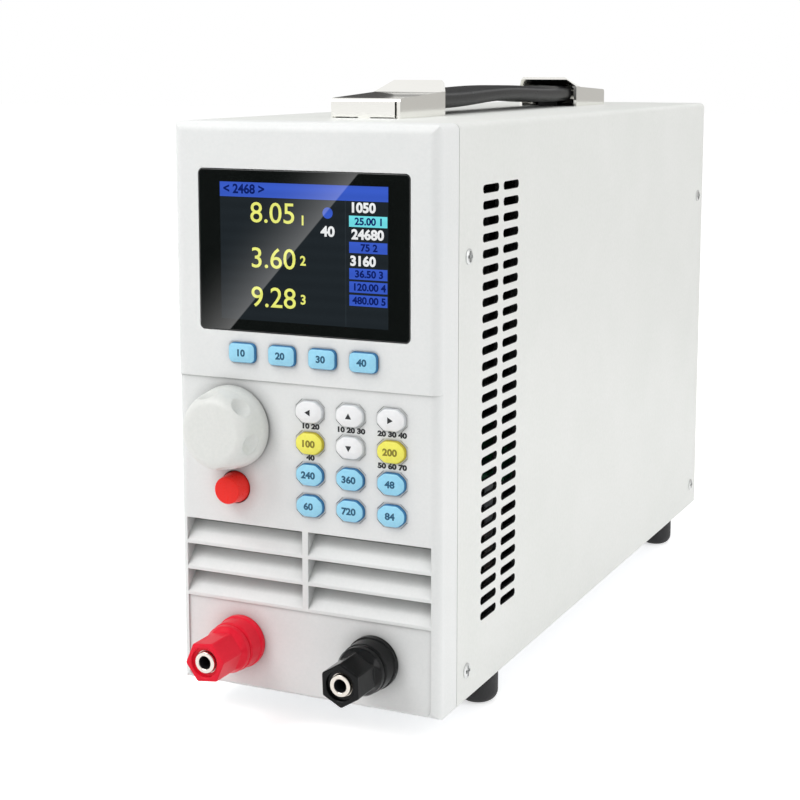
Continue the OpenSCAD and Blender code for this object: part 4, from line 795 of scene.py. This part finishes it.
def handle_cover(end, sign):
    """Pressed end cap: its end plate is folded down from the top over a round bend, stops short of one
    side plate and stands on a tab."""
    node = "handle_cap_" + end
    lo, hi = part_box(node)
    outer = lo.y if sign > 0 else hi.y

    def at_fold(point):
        return abs(point.y - outer) < HAIR and abs(point.z - lo.z - FOLD_Z) < HAIR

    bm = bmesh.new()
    bm.from_mesh(frame["nodes"][node].data)
    merged(bm)
    bmesh.ops.dissolve_limit(bm, angle_limit=math.radians(1), verts=bm.verts, edges=bm.edges)
    rolled(bm, [e for e in bm.edges if all(at_fold(v.co) for v in e.verts)], FOLD_R, 6)
    mesh = bpy.data.meshes.new(node)
    bm.to_mesh(mesh)
    bm.free()
    reach = sorted((outer - sign * MM, outer + sign * SHEET))

    def slot_box(x0, x1, high):
        left, right = sorted((sign * x0 * MM, sign * x1 * MM))
        return (left, reach[0], lo.z - MM), (right, reach[1], lo.z + high * MM)

    mesh = carved(mesh, [slot_box(*slit) for slit in SLITS])
    bm = bmesh.new()
    bm.from_mesh(mesh)
    merged(bm)
    crisp = [e for e in bm.edges if len(e.link_faces) == 2 and e.calc_face_angle(0) > CRISP_TURN
             and e.calc_length() > CRISP_LONG]
    rolled(bm, crisp, CRISP_ROLL, 3)
    mount(shape("handle_cover_" + end, bm, [cap_nickel]), "case", NODE_SLOT[node], node)


STRAP_SHOW = 2 * MM                     # full section of the strap in front of its bend, inside the hood
STRAP_ARCH, STRAP_RUN = 1.2 * MM, 0.8   # rise of the middle, and the share of a half that it runs out over
STRAP_WIDE, STRAP_THICK, STRAP_SWELL = 0.98, 0.95, 0.05   # shares of the grip's width and thickness
TONGUE_W, TONGUE_T, TONGUE_EDGE, TONGUE_TIP = 8 * MM, 2.6 * MM, 0.6 * MM, 0.5 * MM
STRAP_SQUARE, TONGUE_SQUARE = (0.42, 0.62), (0.2, 0.3)   # powers of their cross-sections


def strap():
    """Strap in two halves that swell a little towards the end caps and end in flat tongues."""
    grip_lo, grip_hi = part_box("handle_grip")
    mid = (grip_lo + grip_hi) / 2
    w, t = grip_hi.x - grip_lo.x, grip_hi.z - grip_lo.z
    steps = 44

    def section(y, z, wide, thick, square):
        """Cross-section between a round and a rectangle: the lower the powers, the squarer."""
        points = []
        for a in turns(48):
            x = math.copysign(abs(math.cos(a)) ** square[0], math.cos(a))
            up = math.copysign(abs(math.sin(a)) ** square[1], math.sin(a))
            points.append(Vector((mid.x + wide / 2 * x, y, z + thick / 2 * up)))
        return points

    for end, sign in (("front", -1), ("rear", 1)):
        end_lo, end_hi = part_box("strap_end_" + end)
        flex_lo, flex_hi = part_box("strap_flex_" + end)
        tip = end_lo.y if sign < 0 else end_hi.y
        bend_start, bend_end = (flex_hi.y, flex_lo.y) if sign < 0 else (flex_lo.y, flex_hi.y)
        root = bend_end + sign * STRAP_SHOW
        rings = []
        for k in range(steps + 1):
            s = k / steps
            swell = math.cos(math.pi * min(1, s / STRAP_RUN))
            arch = STRAP_ARCH * math.cos(math.pi / 2 * min(1, s / STRAP_RUN)) ** 2
            y, thick = mid.y + (root - mid.y) * s, t * (STRAP_THICK - STRAP_SWELL * swell)
            rings.append(section(y, mid.z + arch, STRAP_WIDE * w, thick, STRAP_SQUARE))
        tongue_z, tongue = end_lo.z + TONGUE_T / 2, abs(tip - root)
        rings += [section(root + sign * d, tongue_z, TONGUE_W - cut, TONGUE_T - cut, TONGUE_SQUARE)
                  for d, cut in ((0.0, 0), (tongue - TONGUE_TIP, 0), (tongue, TONGUE_EDGE))]
        bm = bmesh.new()
        skin(bm, rings)
        made = shape("strap_half_" + end, bm, [vinyl])
        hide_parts("strap_flex_" + end, "strap_end_" + end, *(["handle_grip"] if sign < 0 else []))
        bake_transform(made)


def feet():
    """Round rubber feet with a rolled lower edge and a shallow dimple."""
    lo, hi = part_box("rubber_feet")
    top, height, roll = 6.5 * MM, 10 * MM, 3.6 * MM
    dimple_r, dimple_floor, dimple = 2.0 * MM, 1.6 * MM, 0.6 * MM
    profile = [(dimple_floor, dimple), (dimple_r, 0), (top - roll, 0)]
    profile += [(top - roll + roll * math.sin(a), roll * (1 - math.cos(a))) for a in quarter(10)]
    profile += [(top, height - 0.5 * MM), (top - 0.4 * MM, height)]
    bm = bmesh.new()
    for x in (lo.x + top, hi.x - top):
        for y in (lo.y + top, hi.y - top):
            skin(bm, [[Vector((x + r * math.cos(a), y + r * math.sin(a), z)) for a in turns(48)]
                      for r, z in profile])
    mount(shape("feet", bm, [foot_rubber]), "case", "foot_rubber", "rubber_feet")


def node_tree(name, inputs):
    """Geometry Nodes tree with a geometry input and output, and named inputs of the given socket types."""
    tree = bpy.data.node_groups.new(name, "GeometryNodeTree")
    for way in ("INPUT", "OUTPUT"):
        tree.interface.new_socket("Geometry", in_out=way, socket_type="NodeSocketGeometry")
    for label, kind in inputs.items():
        tree.interface.new_socket(label, in_out="INPUT", socket_type="NodeSocket" + kind)
    return tree, add(tree, "NodeGroupInput").outputs, add(tree, "NodeGroupOutput").inputs


def seats(verts, edges=(), aims=None, widths=None):
    """Mesh of points and edges that a tree grows on, with a direction or a width for every point."""
    mesh = bpy.data.meshes.new("seats")
    mesh.from_pydata([tuple(v) for v in verts], edges, [])
    if aims:
        aim = mesh.attributes.new("aim", "FLOAT_VECTOR", "POINT")
        aim.data.foreach_set("vector", [c for v in aims for c in v])
    if widths:
        mesh.attributes.new("wide", "FLOAT", "POINT").data.foreach_set("value", widths)
    return mesh


def grown(name, tree, values, mesh):
    """Plain object that a tree grows from a mesh; values holds the tree's named inputs."""
    made = bpy.data.objects.new(name, mesh)
    bpy.context.scene.collection.objects.link(made)
    live = made.modifiers.new("grow", "NODES")
    live.node_group = tree
    for item in tree.interface.items_tree:
        if item.in_out == "INPUT" and item.name in values:
            live[item.identifier] = values[item.name]
    made.data = baked(made)
    made.modifiers.remove(live)
    made.data.name = name
    return made


def dressed(tree, out, made, finish):
    """Ends a tree: instances made real, in their finish."""
    real = add(tree, "GeometryNodeRealizeInstances", {"Geometry": made.outputs[0]})
    coated = add(tree, "GeometryNodeSetMaterial", {"Geometry": real.outputs[0], "Material": finish})
    tree.links.new(coated.outputs[0], out[0])


def screw_tree(finish):
    """Pan-head screws with a cross recess, their heads seated on the points."""
    tree, size, out = node_tree("pan_screws", dict.fromkeys(
        ("Head radius", "Head height", "Shank radius", "Shank length", "Cross width"), "Float"))
    # Sizes that are shares of the inputs; the dome sinks a hair into the rim, so that they join
    shares = {"top radius": ("Head radius", 0.72), "half height": ("Head height", 0.5),
              "rim middle": ("Head height", 0.25), "dome foot": ("Head height", 0.499),
              "recess reach": ("Head radius", 1.4), "recess depth": ("Head height", 1.8),
              "shank middle": ("Shank length", -0.5)}
    part = {label: add(tree, "ShaderNodeMath", {0: size[name], 1: factor}, operation="MULTIPLY").outputs[0]
            for label, (name, factor) in shares.items()}

    def raised(made, z):
        """Output of a piece moved along the screw's axis."""
        along = add(tree, "ShaderNodeCombineXYZ", {"Z": z}).outputs[0]
        move = {"Geometry": made.outputs[0], "Translation": along}
        return add(tree, "GeometryNodeTransform", move).outputs[0]

    rim = add(tree, "GeometryNodeMeshCylinder", {"Vertices": 40, "Radius": size["Head radius"],
                                                 "Depth": part["half height"]})
    dome = add(tree, "GeometryNodeMeshCone", {"Vertices": 40, "Radius Bottom": size["Head radius"],
                                              "Radius Top": part["top radius"], "Depth": part["half height"]})
    pieces = [raised(rim, part["rim middle"]), raised(dome, part["dome foot"])]
    stack = add(tree, "GeometryNodeMeshBoolean", {"Mesh 2": pieces}, operation="UNION")
    bars = []
    for x, y in ((part["recess reach"], size["Cross width"]), (size["Cross width"], part["recess reach"])):
        extent = add(tree, "ShaderNodeCombineXYZ", {"X": x, "Y": y, "Z": part["recess depth"]}).outputs[0]
        bars.append(raised(add(tree, "GeometryNodeMeshCube", {"Size": extent}), size["Head height"]))
    head = add(tree, "GeometryNodeMeshBoolean", {"Mesh 1": stack.outputs[0], "Mesh 2": bars},
               operation="DIFFERENCE")
    shank = add(tree, "GeometryNodeMeshCylinder", {"Vertices": 16, "Radius": size["Shank radius"],
                                                   "Depth": size["Shank length"]})
    screw = add(tree, "GeometryNodeJoinGeometry", {0: [head.outputs[0], raised(shank, part["shank middle"])]})
    aim = add(tree, "GeometryNodeInputNamedAttribute", {"Name": "aim"}, data_type="FLOAT_VECTOR")
    turn = add(tree, "FunctionNodeAlignRotationToVector", {"Vector": aim.outputs[0]}, axis="Z").outputs[0]
    spread = add(tree, "GeometryNodeInstanceOnPoints", {"Points": size["Geometry"], "Rotation": turn,
                                                        "Instance": screw.outputs[0]})
    dressed(tree, out, spread, finish)
    return tree


SIDE_SEAT, SIDE_HEAD_R, SIDE_HEAD_H = 2.6 * MM, 2.4 * MM, 0.6 * MM
SIDE_SHANK_R, SIDE_SHANK_L = 1.5 * MM, 3.5 * MM
GUARD_HEAD_R, GUARD_HEAD_H, GUARD_SHANK_R = 3.4 * MM, 1.7 * MM, 1.9 * MM
CROSS_W = 1.0 * MM


def side_screws(tree):
    lo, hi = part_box("cover_screws")
    places, aims = [], []
    for sign, x in ((-1, cover_lo.x), (1, cover_hi.x)):
        for y in (lo.y + SIDE_SEAT, hi.y - SIDE_SEAT):
            for z in (lo.z + SIDE_SEAT, hi.z - SIDE_SEAT):
                places.append((x, y, z))
                aims.append((sign, 0, 0))
    sizes = {"Head radius": SIDE_HEAD_R, "Head height": SIDE_HEAD_H, "Shank radius": SIDE_SHANK_R,
             "Shank length": SIDE_SHANK_L, "Cross width": CROSS_W}
    made = grown("side_screws", tree, sizes, seats(places, aims=aims))
    mount(made, "case", "screw_steel", "cover_screws")


def guard_screws(tree):
    lo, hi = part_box("fan_screws")
    places = [(x, hi.y - GUARD_HEAD_H, z) for x in (lo.x + GUARD_HEAD_R, hi.x - GUARD_HEAD_R)
              for z in (lo.z + GUARD_HEAD_R, hi.z - GUARD_HEAD_R)]
    sizes = {"Head radius": GUARD_HEAD_R, "Head height": GUARD_HEAD_H, "Shank radius": GUARD_SHANK_R,
             "Shank length": hi.y - lo.y - GUARD_HEAD_H, "Cross width": CROSS_W}
    made = grown("guard_screws", tree, sizes, seats(places, aims=[(0, 1, 0)] * len(places)))
    mount(made, "case", "screw_steel", "fan_screws")


def guard_tree(finish):
    """Bent wire: round wires along the edges, and rings around the points that have a width."""
    tree, given, out = node_tree("wire_guard", {"Wire radius": "Float"})
    arms = add(tree, "GeometryNodeMeshToCurve", {"Mesh": given["Geometry"]})
    ring = add(tree, "GeometryNodeCurvePrimitiveCircle", {"Resolution": 96, "Radius": 1.0})
    upright = add(tree, "GeometryNodeTransform", {"Geometry": ring.outputs[0],
                                                  "Rotation": (math.pi / 2, 0, 0)}).outputs[0]
    wide = add(tree, "GeometryNodeInputNamedAttribute", {"Name": "wide"}, data_type="FLOAT").outputs[0]
    chosen = add(tree, "FunctionNodeCompare", {0: wide, 1: 0.0}, data_type="FLOAT", operation="GREATER_THAN")
    spread = add(tree, "GeometryNodeInstanceOnPoints", {"Points": given["Geometry"], "Instance": upright,
                                                        "Selection": chosen.outputs[0], "Scale": wide})
    rings = add(tree, "GeometryNodeRealizeInstances", {"Geometry": spread.outputs[0]})
    lines = add(tree, "GeometryNodeJoinGeometry", {0: [arms.outputs[0], rings.outputs[0]]})
    wire = add(tree, "GeometryNodeCurvePrimitiveCircle", {"Resolution": 12, "Radius": given["Wire radius"]})
    solid = add(tree, "GeometryNodeCurveToMesh", {"Curve": lines.outputs[0], "Profile Curve": wire.outputs[0],
                                                  "Fill Caps": True})
    dressed(tree, out, solid, finish)
    return tree


def guard():
    """Wire guard of the fan: rings on four arms that end in eyes under the screws."""
    lo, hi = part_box("fan_guard")
    centre = (lo + hi) / 2
    screws_lo, screws_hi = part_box("fan_screws")
    pitch = (screws_hi.x - screws_lo.x) / 2 - GUARD_HEAD_R
    wire_r, eye_r, ring_step, rings = 0.78 * MM, 4.3 * MM, 9.1 * MM, 4
    back, front = lo.y + wire_r, hi.y - wire_r
    verts, edges = [(centre.x, front, centre.z)] * rings, []
    widths = [ring_step * k for k in range(1, rings + 1)]
    for x in (-1, 1):
        for z in (-1, 1):
            corner = Vector((centre.x + x * pitch, back, centre.z + z * pitch))
            inward = Vector((-x, 0, -z)).normalized()
            start = len(verts) + 1
            verts += [corner, corner + inward * eye_r, corner + inward * (pitch * math.sqrt(2) - ring_step)]
            widths += [eye_r, 0.0, 0.0]
            edges.append((start, start + 1))
    made = grown("wire_guard", guard_tree(nickel), {"Wire radius": wire_r},
                 seats(verts, edges, widths=widths))
    mount(made, "case", NODE_SLOT["fan_guard"], "fan_guard")


BLADES = 7
HUB_R, HUB_ROLL = 18 * MM, 1.5 * MM


def blade_mesh(depth, tip_r):
    """One cambered blade that twists towards its tip, at the top of the wheel."""
    spans, steps = 6, 8
    thick, thinning, camber_h, chord_share, swing = 1.6 * MM, 0.75, 2.2 * MM, 0.86, 0.8
    mean_r, root_lean, twist = HUB_R + 8 * MM, 46, 2
    root_r = HUB_R - HUB_ROLL
    rows = []
    for i in range(spans + 1):
        r = root_r + (tip_r - root_r) * i / spans
        lean = math.radians(root_lean - twist * i)
        row = []
        for side, order in ((1, range(steps + 1)), (-1, range(steps, -1, -1))):
            for t in [k / steps - 0.5 for k in order]:
                chord, camber = chord_share * depth * t, camber_h * (1 - 4 * t * t)
                half = thick / 2 * (1 - thinning * abs(2 * t) ** 3) / math.cos(lean)
                angle = (camber - swing * chord * math.tan(lean) + side * half) / mean_r
                row.append(Vector((r * math.sin(angle), chord, r * math.cos(angle))))
        rows.append(row)
    bm = bmesh.new()
    skin(bm, rows)
    merged(bm)
    blade = bpy.data.meshes.new("blade")
    bm.to_mesh(blade)
    bm.free()
    return blade


def blade_tree(finish):
    """Ring of blades: copies of the given one in even steps around a centre."""
    tree, given, out = node_tree("blade_ring", {"Blades": "Int", "Centre": "Vector"})
    spots = add(tree, "GeometryNodePoints", {"Count": given["Blades"], "Position": given["Centre"]})
    number = add(tree, "GeometryNodeInputIndex").outputs[0]
    step = add(tree, "ShaderNodeMath", {0: 2 * math.pi, 1: given["Blades"]}, operation="DIVIDE").outputs[0]
    angle = add(tree, "ShaderNodeMath", {0: number, 1: step}, operation="MULTIPLY").outputs[0]
    turn = add(tree, "ShaderNodeCombineXYZ", {"Y": angle}).outputs[0]
    aim = add(tree, "FunctionNodeEulerToRotation", {0: turn}).outputs[0]
    spread = add(tree, "GeometryNodeInstanceOnPoints", {"Points": spots.outputs[0], "Rotation": aim,
                                                        "Instance": given["Geometry"]})
    dressed(tree, out, spread, finish)
    return tree


def impeller():
    """Fan wheel: a ring of blades, and a hub with a rounded edge and a shallow dish."""
    lo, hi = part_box("fan_impeller")
    centre = (lo + hi) / 2
    blade = blade_mesh(hi.y - lo.y, (hi.x - lo.x) / 2)
    made = grown("fan_blades", blade_tree(fan_black), {"Blades": BLADES, "Centre": tuple(centre)}, blade)
    mount(made, "fan_impeller", NODE_SLOT["fan_impeller"], "fan_impeller")

    edge, back_rim, dish_r, dish, nub_r = 0.5 * MM, 2 * MM, 11 * MM, 0.4 * MM, 2 * MM
    profile = [(HUB_R - back_rim, lo.y), (HUB_R - edge, lo.y), (HUB_R, lo.y + edge)]
    profile += [(HUB_R - HUB_ROLL * (1 - math.cos(a)), hi.y - HUB_ROLL * (1 - math.sin(a)))
                for a in quarter(5, 0)]
    profile += [(dish_r, hi.y), (dish_r - dish, hi.y - dish), (nub_r, hi.y - dish)]
    bm = bmesh.new()
    lathe(bm, profile, centre)
    mount(shape("fan_hub", bm, [fan_black]), "fan_impeller", NODE_SLOT["fan_impeller"])


def inlet_pins():
    """Flat plated pins in the inlet's well, with rounded tips."""
    lo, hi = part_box("mains_inlet")
    centre = (lo + hi) / 2
    well_deep, length, apart, offset = 16 * MM, 10.1 * MM, 7 * MM, 2 * MM
    well = hi.y - well_deep
    thick, wide, corner = 2.1 * MM, 4.1 * MM, 0.4 * MM
    # How much narrower a pin is at each distance from the well's floor
    stages = ((0, -0.05 * MM), (0, length - 1.4 * MM), (0.3 * MM, length - 0.5 * MM), (0.9 * MM, length))
    bm = bmesh.new()
    for x, z in ((-apart, -offset), (0, offset), (apart, -offset)):
        spot = centre + Vector((x, 0, z))
        skin(bm, [at_depth(rounded(rectangle(thick - cut, wide - cut), corner), spot, well + y)
                  for cut, y in stages])
    mount(shape("inlet_pins", bm, [nickel]), "case", "nickel")


# Studio
WHITE, WARM_WHITE = (1, 1, 1, 1), (1, 0.985, 0.96, 1)
PAPER_HALF, PAPER_LIFT = 6, 0.58   # half the paper's side, and the light that makes it read as white
SKY_LIGHT, SKY_SEEN = 0.55, 1.0
DOOR_ACROSS = (-0.743, 0, 0.669)   # direction across the lit doorway's slanted edge
DOOR_EDGE, DOOR_SHARP, DOOR_END = 0.2446, 0.2452, 0.2882
DOOR_FALL, DOOR_LEVEL = 2.5, 2.8
DOOR_CARD = ((-0.335, -0.584), (-0.155, -0.584), 0.02, 0.15)
# Cards: the two ends of the line that they stand over, their lower and upper edges, and how bright they are
CARDS = {"dark_card": ((-0.88, 0.61), (0.02, 1.04), 0.21, 0.75, 0.1),
         "grey_card": ((-0.10, 0.72), (0.80, 0.29), 0, 0.35, 0.58)}
LAMPS = (("key", (-0.35, -0.5, 0.72), 0.5, 3.2), ("fill", (1.25, 0.2, 0.7), 0.9, 5.6),
         ("top", (0.1, 0.5, 1.5), 0.8, 3.4))   # name, place, size and power


def seen_rays(tree):
    """1 for rays that look at a surface, from the camera or by way of gloss or glass, 0 for those that
    light it."""
    path = add(tree, "ShaderNodeLightPath").outputs
    seen = path["Is Camera Ray"]
    for way in ("Is Glossy Ray", "Is Transmission Ray"):
        seen = add(tree, "ShaderNodeMath", {0: seen, 1: path[way]}, operation="MAXIMUM").outputs[0]
    return seen


def board(name, corners, finish):
    """Flat stage piece."""
    mesh = bpy.data.meshes.new(name)
    mesh.from_pydata(corners, [], [range(len(corners))])
    mesh.materials.append(finish)
    made = bpy.data.objects.new(name, mesh)
    bpy.context.scene.collection.objects.link(made)
    return made


def card(name, a, b, low, high, finish):
    """Upright board over the line from a to b that shows only in reflections."""
    made = board(name, [(*a, low), (*b, low), (*b, high), (*a, high)], finish)
    made.visible_camera = made.visible_diffuse = made.visible_shadow = made.visible_transmission = False


def plain_card(name, a, b, low, high, level):
    """Card of one even tone."""
    mat, tree, out = blank(name)
    glow = add(tree, "ShaderNodeEmission", {"Color": WARM_WHITE, "Strength": level})
    tree.links.new(glow.outputs[0], out.inputs[0])
    card(name, a, b, low, high, mat)


def window_card():
    """Dark room with a lit doorway, as the display glass mirrors it: a slanted edge, fading away from it."""
    mat, tree, out = blank("dark_room")
    place = add(tree, "ShaderNodeTexCoord").outputs["Object"]
    across = add(tree, "ShaderNodeVectorMath", {0: place, 1: DOOR_ACROSS},
                 operation="DOT_PRODUCT").outputs["Value"]
    edge = add(tree, "ShaderNodeMapRange", {"Value": across, "From Min": DOOR_EDGE, "From Max": DOOR_SHARP})
    fade = add(tree, "ShaderNodeMapRange", {"Value": across, "From Min": DOOR_EDGE, "From Max": DOOR_END,
                                            "To Min": 1.0, "To Max": 0.0})
    curve = add(tree, "ShaderNodeMath", {0: fade.outputs[0], 1: DOOR_FALL}, operation="POWER")
    level = add(tree, "ShaderNodeMath", {0: curve.outputs[0], 1: edge.outputs[0]}, operation="MULTIPLY")
    level = add(tree, "ShaderNodeMath", {0: level.outputs[0], 1: DOOR_LEVEL}, operation="MULTIPLY")
    glow = add(tree, "ShaderNodeEmission", {"Color": WHITE, "Strength": level.outputs[0]})
    tree.links.new(glow.outputs[0], out.inputs[0])
    card("window_card", *DOOR_CARD, mat)


def paper():
    """Seamless paper: matt white that takes a soft shadow and reads as white to the camera."""
    mat, tree, out = blank("paper_seamless_white")
    lift = add(tree, "ShaderNodeMath", {0: seen_rays(tree), 1: PAPER_LIFT}, operation="MULTIPLY")
    matt = add(tree, "ShaderNodeBsdfDiffuse", {"Color": linear("#f2f2f2")})
    glow = add(tree, "ShaderNodeEmission", {"Color": WHITE, "Strength": lift.outputs[0]})
    both = add(tree, "ShaderNodeAddShader", {0: matt.outputs[0], 1: glow.outputs[0]})
    tree.links.new(both.outputs[0], out.inputs[0])
    board("studio_floor", [(p.x, p.y, 0) for p in rectangle(2 * PAPER_HALF, 2 * PAPER_HALF)], mat)


def sky():
    """Even white room that is brighter to the eye than as a light."""
    world = bpy.data.worlds.new("studio")
    world.use_nodes = True
    tree = world.node_tree
    tree.nodes.clear()
    level = add(tree, "ShaderNodeMapRange", {"Value": seen_rays(tree), "To Min": SKY_LIGHT,
                                             "To Max": SKY_SEEN})
    light = add(tree, "ShaderNodeBackground", {"Color": WHITE, "Strength": level.outputs[0]})
    add(tree, "ShaderNodeOutputWorld", {"Surface": light.outputs[0]})
    bpy.context.scene.world = world


def lamps():
    aim = (cad_box[0] + cad_box[1]) / 2
    for name, place, size, power in LAMPS:
        lamp = bpy.data.lights.new(name, "AREA")
        lamp.size, lamp.energy = size, power
        made = bpy.data.objects.new(name, lamp)
        made.location = place
        made.rotation_euler = (aim - Vector(place)).to_track_quat("-Z", "Y").to_euler()
        bpy.context.scene.collection.objects.link(made)


def camera():
    view = bpy.data.cameras.new("photo_view")
    view.lens, view.sensor_width, view.sensor_fit, view.shift_y = LENS, SENSOR, "HORIZONTAL", SHIFT_Y
    view.clip_start = NEAR_CLIP
    made = bpy.data.objects.new("photo_view", view)
    level = math.cos(ELEVATION)
    ahead = Vector((-math.sin(AZIMUTH) * level, math.cos(AZIMUTH) * level, -math.sin(ELEVATION)))
    made.location = EYE
    made.rotation_euler = ahead.to_track_quat("-Z", "Y").to_euler()
    bpy.context.scene.collection.objects.link(made)
    bpy.context.scene.camera = made


def studio():
    bpy.context.scene.view_settings.view_transform = "Standard"
    paper()
    sky()
    window_card()
    for name, sizes in CARDS.items():
        plain_card(name, *sizes)
    lamps()
    camera()


display_glass()
display_picture()
keypad()
key_lips()
captions()
knob()
power_button()
for colour, finish, turn in (("red", post_red, math.radians(7)), ("black", post_black, math.radians(32))):
    post_base(colour, finish, "post_" + colour)
    post_cap(colour, finish, "post_" + colour, turn)
studs()
handle_cover("front", 1)
handle_cover("rear", -1)
strap()
feet()
screw = screw_tree(screw_steel)
side_screws(screw)
guard_screws(screw)
guard()
impeller()
inlet_pins()
studio()
